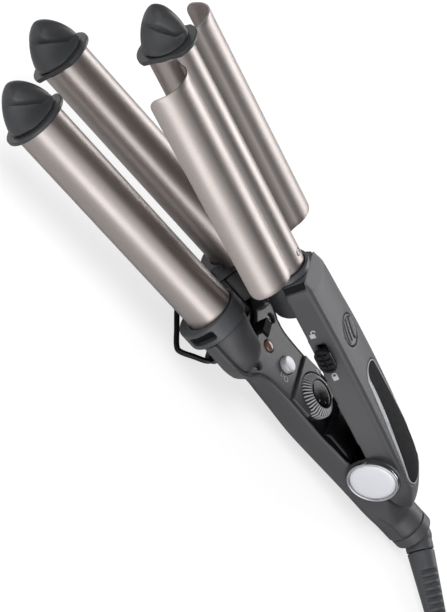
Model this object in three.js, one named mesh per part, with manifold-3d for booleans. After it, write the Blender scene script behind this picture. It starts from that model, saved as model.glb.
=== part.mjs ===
// Triple-barrel hair waver, in millimetres, +Z up.
// The tool lies on its folded-out wire stand and on the underside of its tail.
// Inside the leaning group, X runs along the barrels with the tips at -X, Y is the hinge
// axis, Z is the opening direction, and the hinge pin is at the origin.

import * as THREE from 'three';
import { mergeVertices } from 'three/addons/utils/BufferGeometryUtils.js';
import Module from 'manifold-3d';

const wasm = await Module();
wasm.setup();

// Clearances
const GAP = 0.3;
const NEST_GAP = 0.4;

// Barrels and their clamp shells
const OPEN_ANGLE = THREE.MathUtils.degToRad(14.4);
const BARREL_R = 11;
const CENTRE_R = 10;
const BARREL_PITCH = 2 * (BARREL_R + CENTRE_R + NEST_GAP);
const BARREL_WALL = 1.2;
const BARREL_TIP_X = -234.3;
const BARREL_END_X = -114.8;
const WING_TIP_X = -231.4;
const WING_END_X = -124.5;
const WING_SHEET = 0.6;
const WING_CLEARANCE = 0.8;
const WING_CORNER_R = 4;

// Cool tips
const FLANGE_R = 14.4;
const FLANGE_T = 2.2;
const CENTRE_FLANGE_R = 13.4;
const TIP_R = 10.9;
const CENTRE_TIP_R = 9.5;
const TIP_LENGTH = 19.6;
const TIP_RISE = 2;
const TIP_PLUG = 6;
const TIP_RINGS = 6;
const TIP_SIDES = 18;

// Lower arm casing
const WALL = 2;
const DECK_Z = -5.6;
const DECK_T = 2;
const DECK_FIT = 0.7;
const BOARD_Z = -13.6;
const BOARD_T = 1.6;
const BOARD_X0 = -76;
const BOARD_X1 = -16;
const HOUSING_R = 14.6;
const HOUSING_END_X = -84;
const COLLAR_R = 15.2;
const COLLAR_X = -119;
const COLLAR_END_X = -110.3;
const HOUSING_X = -110;
const TROUGH_R = 13.8;
const TROUGH_END_X = -89;
const NEST_HALF = 16.2;
const NEST_X0 = -112;
const NEST_X1 = -80;
const SHELL_END_X = -88;
const DECK_X0 = -96;
const BRIDGE_HALF = 15;
const BRIDGE_Z0 = -16.4;
const BRIDGE_Z1 = -8;
const BRIDGE_STEP_Z = -13.4;
const RECESS_DEPTH = 1.6;
const RECESS_Z0 = -8.5;
const RECESS_Z1 = 3;
const TAIL_R = 10;
const TAIL_Z = -16.6;
const TAIL_END_X = 50;
const TAIL_BORE_R = 7.4;
const TAIL_RING_X = 44;

// Upper arm casing
const UPPER_Z = 1.5;
const UPPER_FRONT_X = -111.5;
const UPPER_END_X = 31;
const UPPER_WALL = 1.8;
const COVER_SCREW_X = [-60, -24];
const COVER_FIT = 0.85;
const TAIL_SEAT_Z = -2.5;
const SEAT_R = 12;
const SEAT_END_X = -93;
const RING_R = 13.2;
const CENTRE_END_X = -104;

// Hinge
const PIN_R = 3;
const PIN_CLEARANCE = 0.1;
const EAR_R = 8.5;
const EAR_IN_Y = 11.2;
const EAR_OUT_Y = 14;
const CHEEK_R = 11.6;
const CHEEK_IN_Y = 14.3;
const CHEEK_OUT_Y = 17;
const CAP_R = 12;
const CAP_T = 2.7;
const CAP_FACE_R = 9.8;
const SPRING_R = 5.6;
const SPRING_WIRE_R = 0.7;
const SPRING_TURNS = 5;
const SPRING_HALF = 8.6;

// Controls on the deck
const BUTTON_X = -63.3;
const BUTTON_R = 3.9;
const BUTTON_PROUD = 2.2;
const LAMP_X = -76.4;
const LAMP_R = 2.7;
const SCREW_X = -79.5;
const SCREW_Y = 15.5;
const SCREW_R = 1.9;
const SHANK_R = 1.1;
const DIAL_X = -42;
const DIAL_R = 9.8;
const DIAL_H = 4.6;
const DIAL_RIBS = 28;
const DIAL_DECK_X0 = -55;
const DIAL_DECK_X1 = -30;
const DIAL_DECK_RISE = 1.5;
const COVER_X1 = -10;
const CATCH_X = -85;
const CATCH_HALF = 4;
const CATCH_TOP = 1.1;
const CATCH_LIP_T = 1.5;
const HOOK_T = 1.1;
const HOOK_Y0 = -3.5;
const HOOK_Y1 = 0.5;

// Lock slider on the upper arm
const LOCK_X = -72;
const LOCK_Z = 6;
const LOCK_LENGTH = 13;
const LOCK_HEIGHT = 8;
const LOCK_TRAVEL = 3;
const LOCK_SLOT_H = 3.4;

// Badge and vent insert on the upper arm
const VENT_X = -74;
const VENT_R = 8;
const BADGE_X0 = -52;
const BADGE_X1 = 13;
const BADGE_STATIONS = [-56, -46, -30, -10, 4, 20];
const BADGE_W0 = 7;
const BADGE_W1 = 10;

// Wire stand
const WIRE_R = 1.25;
const STAND_Y = 22;
const STAND_PIVOT_X = -95.5;
const STAND_PIVOT_Z = -17.4;
const STAND_FOOT_X = -107.5;
const STAND_FOOT_Z = -27.8;
const STAND_BOW = 7.5;
const STAND_LUG_Y = 16;
const STAND_LUG_T = 5;
const STAND_LUG_R = 3.4;
const HEEL_FLAT = 0.4;
const WIRE_CLEARANCE = 0.2;

// Mains cord
const CORD_R = 3.25;
const KNUCKLE_R = 7;
const SLEEVE_ANGLE = THREE.MathUtils.degToRad(48);
const SLEEVE_DROOP = THREE.MathUtils.degToRad(4);
const SLEEVE_START = 7.5;
const SLEEVE_LENGTH = 44;
const KNUCKLE_X = 53;
const SLEEVE_R0 = 6.4;
const SLEEVE_R1 = 4.1;
const SLEEVE_RIBS = 6;
const COIL_TURN_R = 36;
const COIL_STEP = 7.1;
const COIL_LAYERS = 4;
const LAYER_TURNS = 2.5;
const COIL_TURNS = 11.25;
const LOOP_STEPS = 24;
const TIE_T = 1.2;
const TIE_WIDTH = 9;
const TIE_ROOM = 0.7;
const COIL_LIFT = TIE_T + GAP;
const PLUG_LENGTH = 35;
const PLUG_WIDTH = 35;
const PLUG_T = 14;
const PLUG_PITCH = 18.6;
const PLUG_PIN_LENGTH = 19;
const PIN_PLUG_R = 2.2;

const RIGHT = Math.PI / 2;
const barrelY = BARREL_PITCH / 2;

// Materials
function finish(colour, roughness, metalness) {
  return new THREE.MeshStandardMaterial({ color: colour, roughness, metalness });
}
const SATIN_BLACK = [0x4a4a4d, 0.5, 0];
const TITANIUM = [0xb9b0a8, 0.32, 1];
const CAP_GREY = [0x3c3d40, 0.45, 0];
const GLOSS_BLACK = [0x0c0c0e, 0.12, 0];
const CHROME = [0xd8d8da, 0.1, 1];
const STEEL = [0xa8a8aa, 0.35, 1];
const PEARL = [0xd6d7da, 0.35, 0.3];
const BLACK_WIRE = [0x1b1b1d, 0.3, 0.6];
const CORD_BLACK = [0x1a1a1c, 0.6, 0];
const CERAMIC = [0xe8e2d4, 0.8, 0];
const BOARD_GREEN = [0x1f5a34, 0.6, 0];
const AMBER = [0xa9713f, 0.2, 0];

// Solids and booleans
function solid(geometry) {
  const bare = geometry.index ? geometry.toNonIndexed() : geometry.clone();
  bare.deleteAttribute('normal');
  bare.deleteAttribute('uv');
  const merged = mergeVertices(bare, 1e-4);
  return new wasm.Manifold(new wasm.Mesh({
    numProp: 3,
    vertProperties: new Float32Array(merged.attributes.position.array),
    triVerts: new Uint32Array(merged.index.array),
  }));
}

function geometryOf(manifold) {
  const mesh = manifold.getMesh();
  const geometry = new THREE.BufferGeometry();
  geometry.setAttribute('position', new THREE.BufferAttribute(mesh.vertProperties, 3));
  geometry.setIndex(new THREE.BufferAttribute(mesh.triVerts, 1));
  return geometry;
}

function join(first, ...others) {
  return others.reduce((sum, other) => sum.add(other), first);
}

function cut(first, ...others) {
  return others.reduce((left, other) => left.subtract(other), first);
}

function box(x0, x1, y0, y1, z0, z1) {
  const geometry = new THREE.BoxGeometry(x1 - x0, y1 - y0, z1 - z0);
  geometry.translate((x0 + x1) / 2, (y0 + y1) / 2, (z0 + z1) / 2);
  return solid(geometry);
}

// A round bar along X, Y or Z between two stations; r1 may differ from r0.
function barX(r0, x0, x1, y = 0, z = 0, sides = 32, r1 = r0) {
  const geometry = new THREE.CylinderGeometry(r1, r0, x1 - x0, sides);
  geometry.rotateZ(-RIGHT);
  geometry.translate((x0 + x1) / 2, y, z);
  return solid(geometry);
}

function barY(r0, y0, y1, x = 0, z = 0, sides = 32, r1 = r0) {
  const geometry = new THREE.CylinderGeometry(r1, r0, y1 - y0, sides);
  geometry.translate(x, (y0 + y1) / 2, z);
  return solid(geometry);
}

function barZ(r0, z0, z1, x = 0, y = 0, sides = 32, r1 = r0) {
  const geometry = new THREE.CylinderGeometry(r1, r0, z1 - z0, sides);
  geometry.rotateX(RIGHT);
  geometry.translate(x, y, (z0 + z1) / 2);
  return solid(geometry);
}

// Extrusions of an outline in a plane; each outline is a list of [a, b] pairs.
function plate(outline, z0, z1) {
  const shape = new THREE.Shape(outline.map(([x, y]) => new THREE.Vector2(x, y)));
  const geometry = new THREE.ExtrudeGeometry(shape, { depth: z1 - z0, bevelEnabled: false });
  geometry.translate(0, 0, z0);
  return solid(geometry);
}

function sidePlate(outline, y0, y1) {
  const shape = new THREE.Shape(outline.map(([x, z]) => new THREE.Vector2(x, z)));
  const geometry = new THREE.ExtrudeGeometry(shape, { depth: y1 - y0, bevelEnabled: false });
  geometry.rotateX(RIGHT);
  geometry.translate(0, y1, 0);
  return solid(geometry);
}

function profileBar(outline, x0, x1) {
  const shape = new THREE.Shape(outline.map(([y, z]) => new THREE.Vector2(y, z)));
  const geometry = new THREE.ExtrudeGeometry(shape, { depth: x1 - x0, bevelEnabled: false });
  geometry.rotateX(RIGHT);
  geometry.rotateZ(RIGHT);
  geometry.translate(x0, 0, 0);
  return solid(geometry);
}

// A closed skin through rings that all have the same number of points.
function loft(rings) {
  const count = rings[0].length;
  const points = rings.flat();
  const index = [];
  for (let i = 0; i + 1 < rings.length; i += 1) {
    for (let j = 0; j < count; j += 1) {
      const a = i * count + j;
      const b = i * count + ((j + 1) % count);
      index.push(a, b, a + count, b, b + count, a + count);
    }
  }
  const last = (rings.length - 1) * count;
  for (let j = 1; j + 1 < count; j += 1) {
    index.push(0, j + 1, j);
    index.push(last, last + j, last + j + 1);
  }
  const geometry = new THREE.BufferGeometry().setFromPoints(points);
  geometry.setIndex(index);
  const made = solid(geometry);
  return made.volume() > 0 ? made : solid(flipped(geometry));
}

function flipped(geometry) {
  const index = Array.from(geometry.index.array);
  for (let i = 0; i < index.length; i += 3) [index[i], index[i + 1]] = [index[i + 1], index[i]];
  geometry.setIndex(index);
  return geometry;
}

// A tube of round section along a list of points.
function tubeAlong(points, radius, steps, sides) {
  const path = new THREE.CatmullRomCurve3(points.map((p) => new THREE.Vector3(...p)), false, 'centripetal');
  const section = new THREE.Shape();
  for (let k = 0; k < sides; k += 1) {
    const a = (2 * Math.PI * k) / sides;
    if (k === 0) section.moveTo(radius, 0);
    else section.lineTo(radius * Math.cos(a), radius * Math.sin(a));
  }
  section.closePath();
  return new THREE.ExtrudeGeometry(section, { steps, extrudePath: path, bevelEnabled: false });
}

// Smooth size tables along X: each row starts with its station.
function smoothTable(rows) {
  return (x, column) => {
    if (x <= rows[0][0]) return rows[0][column];
    if (x >= rows[rows.length - 1][0]) return rows[rows.length - 1][column];
    let i = 0;
    while (x > rows[i + 1][0]) i += 1;
    const slope = (k) => {
      if (k <= 0 || k >= rows.length - 1) return 0;
      const before = (rows[k][column] - rows[k - 1][column]) / (rows[k][0] - rows[k - 1][0]);
      const after = (rows[k + 1][column] - rows[k][column]) / (rows[k + 1][0] - rows[k][0]);
      return before * after <= 0 ? 0 : (2 * before * after) / (before + after);
    };
    const span = rows[i + 1][0] - rows[i][0];
    const t = (x - rows[i][0]) / span;
    const p0 = rows[i][column];
    const p1 = rows[i + 1][column];
    const h = t * t * (3 - 2 * t);
    return p0 + h * (p1 - p0) + span * (t * (1 - t) ** 2 * slope(i) - t * t * (1 - t) * slope(i + 1));
  };
}

// Lower arm: station, half width, height of the widest line, underside, top, top squareness
const housingHalf = barrelY + HOUSING_R;
const lowerTable = smoothTable([
  [HOUSING_X - 1, housingHalf, -1, -HOUSING_R, 0, 9],
  [-97, housingHalf, -1.5, -HOUSING_R - 0.3, 0, 9],
  [-89, housingHalf - 3, -3, -HOUSING_R - 1.4, -1.2, 9],
  [-82, 26, -5, -18, -3.6, 9],
  [-76, 19.5, -7.5, -20, DECK_Z + 0.4, 9],
  [-68, 16.6, -9, -22, DECK_Z + 0.4, 9],
  [-56, 15.9, -9.5, -23.6, DECK_Z + 0.4, 9],
  [-34, 16.8, -10, -25, DECK_Z + 0.4, 9],
  [-12, CHEEK_OUT_Y, -10, -24.6, -4.4, 9],
  [4, CHEEK_OUT_Y, -10, -24.4, -2.9, 7],
  [18, 15.8, -11.5, -25, -2.9, 5],
  [27, 12.6, -14, -26.2, -4.4, 3.4],
  [36, TAIL_R, TAIL_Z, TAIL_Z - TAIL_R, TAIL_Z + TAIL_R, 2],
  [TAIL_END_X, TAIL_R, TAIL_Z, TAIL_Z - TAIL_R, TAIL_Z + TAIL_R, 2],
]);
const LOWER_STATIONS = [HOUSING_X, -97, -91, -86, -80, -74, -66, -52, -34, -12, 4, 12, 18, 24, 30, 36,
  TAIL_RING_X];
const LOWER_UNDER_POWER = 2.3;
const LOWER_HOLLOW = [HOUSING_X - 1, -97, -86, -80, -74, -66, -34, 4, 8];
const LOWER_SIDES = 22;

// Half width of the lower casing's section at a height
function lowerHalfAt(x, z) {
  const wide = lowerTable(x, 2);
  const edge = lowerTable(x, z > wide ? 4 : 3);
  const share = Math.min(Math.abs((z - wide) / (edge - wide)), 1);
  const power = z > wide ? lowerTable(x, 5) : LOWER_UNDER_POWER;
  return lowerTable(x, 1) * (1 - share ** power) ** (1 / power);
}

function lowerRing(x, inset, raise) {
  const ring = [];
  const half = lowerTable(x, 1) - inset;
  const wide = lowerTable(x, 2);
  const under = lowerTable(x, 3) + inset;
  const top = lowerTable(x, 4) + raise;
  const power = lowerTable(x, 5);
  for (let k = 0; k < LOWER_SIDES; k += 1) {
    const a = (2 * Math.PI * (k + 0.5)) / LOWER_SIDES;
    const c = Math.cos(a);
    const s = Math.sin(a);
    const e = 2 / (s > 0 ? power : LOWER_UNDER_POWER);
    const y = half * Math.sign(c) * Math.abs(c) ** e;
    const z = wide + (s > 0 ? top - wide : wide - under) * Math.sign(s) * Math.abs(s) ** e;
    ring.push(new THREE.Vector3(x, y, z));
  }
  return ring;
}

function lowerLoft(stations, inset, raise) {
  return loft(stations.map((x) => lowerRing(x, inset, raise)));
}

// Upper arm: station, half width at the open edge, half width at the shoulder, top
const upperTable = smoothTable([
  [UPPER_FRONT_X, 13.6, 11.8, 12.6],
  [-104, 14.2, 12.9, 13.9],
  [-86, 14.4, 13.2, 14.5],
  [-66, 15.8, 13.8, 15],
  [-50, 17.4, 14, 15],
  [-30, 17.8, 14, 14.7],
  [-10, CHEEK_OUT_Y, 13.8, 14.1],
  [4, CHEEK_OUT_Y, 13.2, 13.6],
  [16, 15.4, 11.8, 13],
  [24, 12, 8.6, 12.2],
  [UPPER_END_X, 5, 3, 9.6],
]);
const UPPER_HOLLOW = [UPPER_FRONT_X + UPPER_WALL, -104, -86, -66, -51, -32, -10, 10, 20, 27];
const UPPER_STATIONS = [UPPER_FRONT_X, -109, -104, -86, -76, -66, -56, -46, -30, -10, 4, 10, 16,
  20, 24, 27, 29.5, UPPER_END_X];
const SHOULDER_R = 4.5;
const CROWN = 0.9;

// Half width of the upper casing's slanted side at a height
function upperHalfAt(x, z) {
  const [low, high] = [upperTable(x, 1), upperTable(x, 2)];
  const shoulder = upperTable(x, 3) - CROWN - Math.min(SHOULDER_R, high - 1);
  return low - ((low - high) * (z - UPPER_Z)) / (shoulder - UPPER_Z);
}

function upperRing(x, inset, bottom) {
  const low = upperTable(x, 1) - inset;
  const high = upperTable(x, 2) - inset;
  const top = upperTable(x, 3) - inset;
  const r = Math.max(Math.min(SHOULDER_R, high - 1) - inset / 2, 0.5);
  const slope = (high - low) / (top - CROWN - r - UPPER_Z);
  const half = [[low + slope * (bottom - UPPER_Z), bottom]];
  for (let k = 0; k <= 4; k += 1) {
    const a = (RIGHT * k) / 4;
    half.push([high - r + r * Math.cos(a), top - CROWN - r + r * Math.sin(a)]);
  }
  half.push([(high - r) * 0.5, top - CROWN * 0.25]);
  const ring = half.map(([y, z]) => new THREE.Vector3(x, -y, z));
  half.reverse().forEach(([y, z]) => ring.push(new THREE.Vector3(x, y, z)));
  return ring;
}

function upperLoft(stations, inset, bottom) {
  return loft(stations.map((x) => upperRing(x, inset, bottom)));
}

// Barrels, heaters and cool tips
function barrel(radius, x0, x1, y) {
  return cut(
    barX(radius, x0, x1, y, 0, 32),
    barX(radius - BARREL_WALL, x0 - 1, x1 + 1, y, 0, 24),
  );
}

function heater(radius, x0, x1, y) {
  const core = radius - BARREL_WALL - GAP;
  const plateHalf = core * 0.86;
  return join(
    box(x0 + 12, x1, y - plateHalf, y + plateHalf, -2.2, 2.2),
    cut(barX(core, x1 - 4, x1, y, 0, 24), barX(1.4, x1 - 5, x1 + 1, y, core * 0.6, 10)),
  );
}

// A domed tip over a flat flange and a plug that sits in the barrel's end.
function tipCap(radius, flangeR, tipR, tipX, y, flats) {
  const outX = tipX - GAP;
  const rings = [];
  for (let i = 0; i <= TIP_RINGS; i += 1) {
    const t = Math.sin((RIGHT * i) / TIP_RINGS) ** 1.2;
    const r = Math.max(tipR * Math.max(1 - t ** 1.6, 0) ** 0.58, 0.6);
    const ring = [];
    for (let k = 0; k < TIP_SIDES; k += 1) {
      const a = (2 * Math.PI * k) / TIP_SIDES;
      ring.push(new THREE.Vector3(
        outX - FLANGE_T + 0.2 - (TIP_LENGTH + 0.2) * t,
        y + r * Math.cos(a),
        TIP_RISE * t + r * Math.sin(a),
      ));
    }
    rings.push(ring);
  }
  const disc = flats.reduce(
    (left, [y0, y1]) => cut(left, box(outX - FLANGE_T - 1, outX + 1, y0, y1, -20, 20)),
    barX(flangeR, outX - FLANGE_T, outX, y, 0, 32),
  );
  return join(disc, loft(rings), barX(radius - BARREL_WALL - GAP, outX - 0.5, outX + TIP_PLUG, y, 0, 20));
}

function lowerTip(side) {
  const y = side * barrelY;
  const inner = CENTRE_R + NEST_GAP + 0.1;
  const flat = side > 0 ? [0, inner] : [-inner, 0];
  return tipCap(BARREL_R, FLANGE_R, TIP_R, BARREL_TIP_X, y, [flat]);
}

function centreTip() {
  const flat = CENTRE_R + 0.1;
  return tipCap(CENTRE_R, CENTRE_FLANGE_R, CENTRE_TIP_R, BARREL_TIP_X + 1, 0, [[flat, 20], [-20, -flat]]);
}

// Half-pipe clamp shell beside the centre barrel, side +1 or -1
function wing(side) {
  const mid = BARREL_R + WING_CLEARANCE + WING_SHEET / 2;
  const line = [];
  for (let k = 0; k <= 14; k += 1) {
    const a = Math.PI - (Math.PI - 0.86) * (k / 14);
    line.push([-barrelY + mid * Math.cos(a), mid * Math.sin(a)]);
  }
  const rootAngle = THREE.MathUtils.degToRad(147);
  const rootR = CENTRE_R + GAP + WING_SHEET / 2 + 0.1;
  const end = [rootR * Math.cos(rootAngle), rootR * Math.sin(rootAngle)];
  const last = line[line.length - 1];
  line.push([(last[0] + end[0]) / 2 - 0.15, (last[1] + end[1]) / 2 - 0.25], end);
  const outline = ribbon(line, WING_SHEET).map(([y, z]) => [-side * y, z]);
  const shell = profileBar(side > 0 ? outline.reverse() : outline, WING_TIP_X, WING_END_X);
  return shell.intersect(sidePlate(roundedRect(WING_TIP_X, WING_END_X, -0.1, 30, WING_CORNER_R), -50, 50));
}

// A strip of even thickness along a list of points
function ribbon(line, thickness) {
  const left = [];
  const right = [];
  line.forEach(([y, z], i) => {
    const before = line[Math.max(i - 1, 0)];
    const after = line[Math.min(i + 1, line.length - 1)];
    const dy = after[0] - before[0];
    const dz = after[1] - before[1];
    const n = Math.hypot(dy, dz);
    left.push([y - (dz / n) * thickness / 2, z + (dy / n) * thickness / 2]);
    right.push([y + (dz / n) * thickness / 2, z - (dy / n) * thickness / 2]);
  });
  return left.concat(right.reverse());
}

function roundedRect(x0, x1, y0, y1, r, steps = 4) {
  const points = [];
  const corners = [[x1 - r, y0 + r, -1], [x1 - r, y1 - r, 0], [x0 + r, y1 - r, 1], [x0 + r, y0 + r, 2]];
  corners.forEach(([cx, cy, quarter]) => {
    for (let k = 0; k <= steps; k += 1) {
      const a = RIGHT * (quarter + k / steps);
      points.push([cx + r * Math.cos(a), cy + r * Math.sin(a)]);
    }
  });
  return points;
}

// Lower arm pieces
function housingBar(radius, side, x0, x1) {
  return barX(radius, x0, x1, side * barrelY, 0, 28);
}

// Room for the nested upper arm: the centre barrel, its ring and seat, and the casing
function centreRoom() {
  const barrelRoom = CENTRE_R + NEST_GAP + 0.1;
  return join(
    barX(barrelRoom, COLLAR_X - 1, BARREL_END_X, 0, 0, 26),
    box(COLLAR_X - 1, BARREL_END_X, -barrelRoom, barrelRoom, 0, 20),
    barX(TROUGH_R, BARREL_END_X - 0.01, TROUGH_END_X, 0, 0, 26),
    box(BARREL_END_X - 0.01, TROUGH_END_X, -TROUGH_R, TROUGH_R, 0, 20),
    box(UPPER_FRONT_X - 0.9, HOUSING_END_X + 4, -NEST_HALF, NEST_HALF, -1, 20),
  );
}

function hingeEar(side) {
  const outline = [[-EAR_R, TAIL_Z - TAIL_R], [EAR_R, TAIL_Z - TAIL_R]];
  for (let k = 0; k <= 8; k += 1) {
    const a = (Math.PI * k) / 8;
    outline.push([EAR_R * Math.cos(a), EAR_R * Math.sin(a)]);
  }
  const y0 = side > 0 ? EAR_IN_Y : -EAR_OUT_Y;
  const inside = join(lowerLoft([-20, -12, -4, 4, 11, 18], WALL / 2, 0), box(-20, 20, -16, 16, -11, 12));
  return sidePlate(outline, y0, y0 + EAR_OUT_Y - EAR_IN_Y).intersect(inside);
}

// Bosses under the housings for the turned-in ends of the wire stand
function standLug(side) {
  const y0 = side > 0 ? STAND_LUG_Y : -STAND_LUG_Y - STAND_LUG_T;
  const y1 = y0 + STAND_LUG_T;
  return join(
    barY(STAND_LUG_R, y0, y1, STAND_PIVOT_X, STAND_PIVOT_Z, 12),
    box(STAND_PIVOT_X - STAND_LUG_R, STAND_PIVOT_X + STAND_LUG_R, y0, y1, STAND_PIVOT_Z, -HOUSING_R + 1),
  );
}

// Posts that carry the circuit board, and bosses for the deck screws
function casingPosts() {
  const floor = (x, y) => lowerTable(x, 3) + WALL * 0.6 + (Math.abs(y) > 10 ? 3 : 0);
  const posts = [[-66, 7], [-24, 8]].flatMap(([x, y]) => [[x, y], [x, -y]]);
  const columns = posts.map(([x, y]) => barZ(1.8, floor(x, y), BOARD_Z - GAP, x, y, 6));
  const bosses = [-1, 1].map((side) => cut(
    barZ(3, -18.5, DECK_Z - DECK_T - GAP, SCREW_X, side * SCREW_Y, 10),
    barZ(SHANK_R + GAP, -17, 0, SCREW_X, side * SCREW_Y, 8),
  ).intersect(lowerLoft(LOWER_STATIONS.slice(3, 8), WALL / 2, 4)));
  return join(...columns, ...bosses);
}

function cheekRoom(side) {
  const y0 = side > 0 ? EAR_OUT_Y : -30;
  return barY(CHEEK_R + GAP, y0, y0 + 30 - EAR_OUT_Y, 0, 0, 24);
}

function lowerCasing() {
  const tub = lowerLoft(LOWER_HOLLOW, WALL, 12);
  const back = lowerLoft([7.5, 12, 18, 22], WALL, -WALL);
  let casing = cut(
    lowerLoft(LOWER_STATIONS, 0, 0),
    tub,
    back,
    barX(TAIL_BORE_R, 15, TAIL_END_X, 0, TAIL_Z, 28),
    cheekRoom(1),
    cheekRoom(-1),
  );
  casing = join(casing, hingeEar(1), hingeEar(-1), standLug(1), standLug(-1), casingPosts());
  return cut(
    casing,
    centreRoom(),
    barY(PIN_R + PIN_CLEARANCE, -30, 30, 0, 0, 16),
    barY(WIRE_R + WIRE_CLEARANCE, -30, 30, STAND_PIVOT_X, STAND_PIVOT_Z, 10),
    belowHeel(),
  );
}

// Outline of a flat piece lying in the casing, with its lowest face at height z
function deckOutline(x0, x1, z, margin) {
  const stations = LOWER_STATIONS.filter((x) => x > x0 + 1 && x < x1 - 1);
  const xs = [x0, ...stations, x1];
  const half = (x) => lowerHalfAt(x, z - WALL * 0.6) - WALL - margin;
  return [...xs.map((x) => [x, -half(x)]), ...xs.reverse().map((x) => [x, half(x)])];
}

// Deck panel with the upper halves of both barrel housings
function controlDeck() {
  let shells = join(...[-1, 1].map((side) => join(
    housingBar(HOUSING_R, side, HOUSING_X, HOUSING_END_X - 3),
    barX(HOUSING_R, HOUSING_END_X - 3.01, HOUSING_END_X, side * barrelY, 0, 28, HOUSING_R - 2.2),
  )));
  shells = cut(shells, ...[1, -1].map((side) => housingBar(HOUSING_R - WALL, side, NEST_X0, SHELL_END_X)));
  const inner = lowerLoft(LOWER_HOLLOW.slice(0, 4), WALL + GAP, 12);
  const upperPart = shells.intersect(box(NEST_X0, NEST_X1, -40, 40, GAP, 20));
  const under = DECK_Z - DECK_T;
  const lowerPart = shells.intersect(box(DECK_X0, NEST_X1, -40, 40, under, 1)).intersect(inner);
  const deck = join(
    plate(deckOutline(DECK_X0, DIAL_DECK_X0 - GAP, under, DECK_FIT), under, DECK_Z),
    upperPart,
    lowerPart,
  );
  return cut(
    deck,
    centreRoom(),
    barZ(BUTTON_R + GAP, DECK_Z - 5, DECK_Z + 1, BUTTON_X, 0, 20),
    barZ(LAMP_R + GAP, DECK_Z - 5, DECK_Z + 1, LAMP_X, 0, 16),
    barZ(SCREW_R + GAP, DECK_Z - 5, DECK_Z + 1, SCREW_X, SCREW_Y, 14),
    barZ(SCREW_R + GAP, DECK_Z - 5, DECK_Z + 1, SCREW_X, -SCREW_Y, 14),
  );
}

function dialDeck() {
  const outline = deckOutline(DIAL_DECK_X0, DIAL_DECK_X1, DECK_Z, DECK_FIT);
  return cut(
    plate(outline, DECK_Z - DECK_T, DECK_Z + DIAL_DECK_RISE),
    barZ(DIAL_R + 0.5, DECK_Z - 5, DECK_Z + 5, DIAL_X, 0, 40),
  );
}

function springCover() {
  return plate(deckOutline(DIAL_DECK_X1 + GAP, COVER_X1, DECK_Z, DECK_FIT), DECK_Z - DECK_T, DECK_Z - 0.2);
}

// Cradle that closes the room for the centre barrel's seat
function centreCradle() {
  const outerR = TROUGH_R + 1.6;
  const gutter = cut(
    barX(outerR, HOUSING_X, TROUGH_END_X - GAP, 0, 0, 32),
    barX(TROUGH_R, HOUSING_X - 1, TROUGH_END_X - 1.8, 0, 0, 48),
  ).intersect(box(NEST_X0, NEST_X1, -30, 30, -30, DECK_Z - DECK_T - GAP));
  return gutter.intersect(lowerLoft(LOWER_HOLLOW.slice(0, 4), WALL + GAP, 12));
}

function barrelBridge() {
  const lower = box(COLLAR_X, COLLAR_END_X, -BRIDGE_HALF, BRIDGE_HALF, BRIDGE_Z0, BRIDGE_Z1);
  const ribs = [-5, 0, 5].map((y) => (
    box(COLLAR_X + 0.8, COLLAR_END_X, y - 0.7, y + 0.7, BRIDGE_Z0 + 0.8, BRIDGE_Z1)
  ));
  const step = box(COLLAR_X - 1, COLLAR_X + 2.4, -BRIDGE_HALF - 5, BRIDGE_HALF + 5, BRIDGE_STEP_Z, 0);
  return cut(
    join(cut(lower, step), ...ribs),
    centreRoom(),
    barX(COLLAR_R + GAP, COLLAR_X - 1, COLLAR_END_X + 1, barrelY, 0, 48),
    barX(COLLAR_R + GAP, COLLAR_X - 1, COLLAR_END_X + 1, -barrelY, 0, 48),
  );
}

// Collar that seats a lower barrel's end, with an oblong recess on its outer side
function collar(side) {
  const y = side * barrelY;
  const out = side * (barrelY + COLLAR_R);
  const deep = out - side * RECESS_DEPTH;
  return cut(
    barX(COLLAR_R, COLLAR_X, COLLAR_END_X, y, 0, 32),
    barX(BARREL_R + GAP, COLLAR_X - 1, BARREL_END_X + GAP, y, 0, 32),
    barX(5, COLLAR_X, COLLAR_END_X + 1, y + side * 3, 0, 12),
    box(COLLAR_X + 2.6, COLLAR_X + 5.6, Math.min(out, deep), Math.max(out, deep), RECESS_Z0, RECESS_Z1),
    centreRoom(),
  );
}

function latchCatch() {
  const lip = CATCH_TOP - CATCH_LIP_T;
  const outline = [[CATCH_X - 3, DECK_Z + GAP], [CATCH_X + 1, DECK_Z + GAP], [CATCH_X - 1.4, DECK_Z + 1.4],
    [CATCH_X - 1.4, lip], [CATCH_X + 2, lip], [CATCH_X + 1.2, CATCH_TOP], [CATCH_X - 3, CATCH_TOP]];
  return sidePlate(outline, -CATCH_HALF, CATCH_HALF);
}

function circuitBoard() {
  return plate(deckOutline(BOARD_X0, BOARD_X1, BOARD_Z, DECK_FIT), BOARD_Z, BOARD_Z + BOARD_T);
}

function knurledDisc(radius, ribs, depth, z0, z1, x) {
  const outline = [];
  for (let k = 0; k < ribs; k += 1) {
    [[0, radius - depth], [0.5, radius]].forEach(([part, r]) => {
      const a = (2 * Math.PI * (k + part)) / ribs;
      outline.push([x + r * Math.cos(a), r * Math.sin(a)]);
    });
  }
  return plate(outline, z0, z1);
}

function temperatureDial() {
  const z0 = DECK_Z - 2.2;
  return cut(
    join(
      knurledDisc(DIAL_R, DIAL_RIBS, 0.6, z0, z0 + DIAL_H - 0.8, DIAL_X),
      barZ(DIAL_R - 0.7, z0 + 1, z0 + DIAL_H, DIAL_X, 0, 28, DIAL_R - 1.9),
    ),
    barZ(6.6, z0 + DIAL_H - 0.5, z0 + DIAL_H + 1, DIAL_X, 0, 24),
    barZ(2.6, z0 - 1, z0 + 2.4, DIAL_X, 0, 20),
  );
}

function dialPotentiometer() {
  return join(
    box(DIAL_X - 5, DIAL_X + 5, -5, 5, BOARD_Z + BOARD_T + GAP, DECK_Z - 3.2),
    barZ(2.3, DECK_Z - 4, DECK_Z - 0.4, DIAL_X, 0, 20),
  );
}

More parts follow.
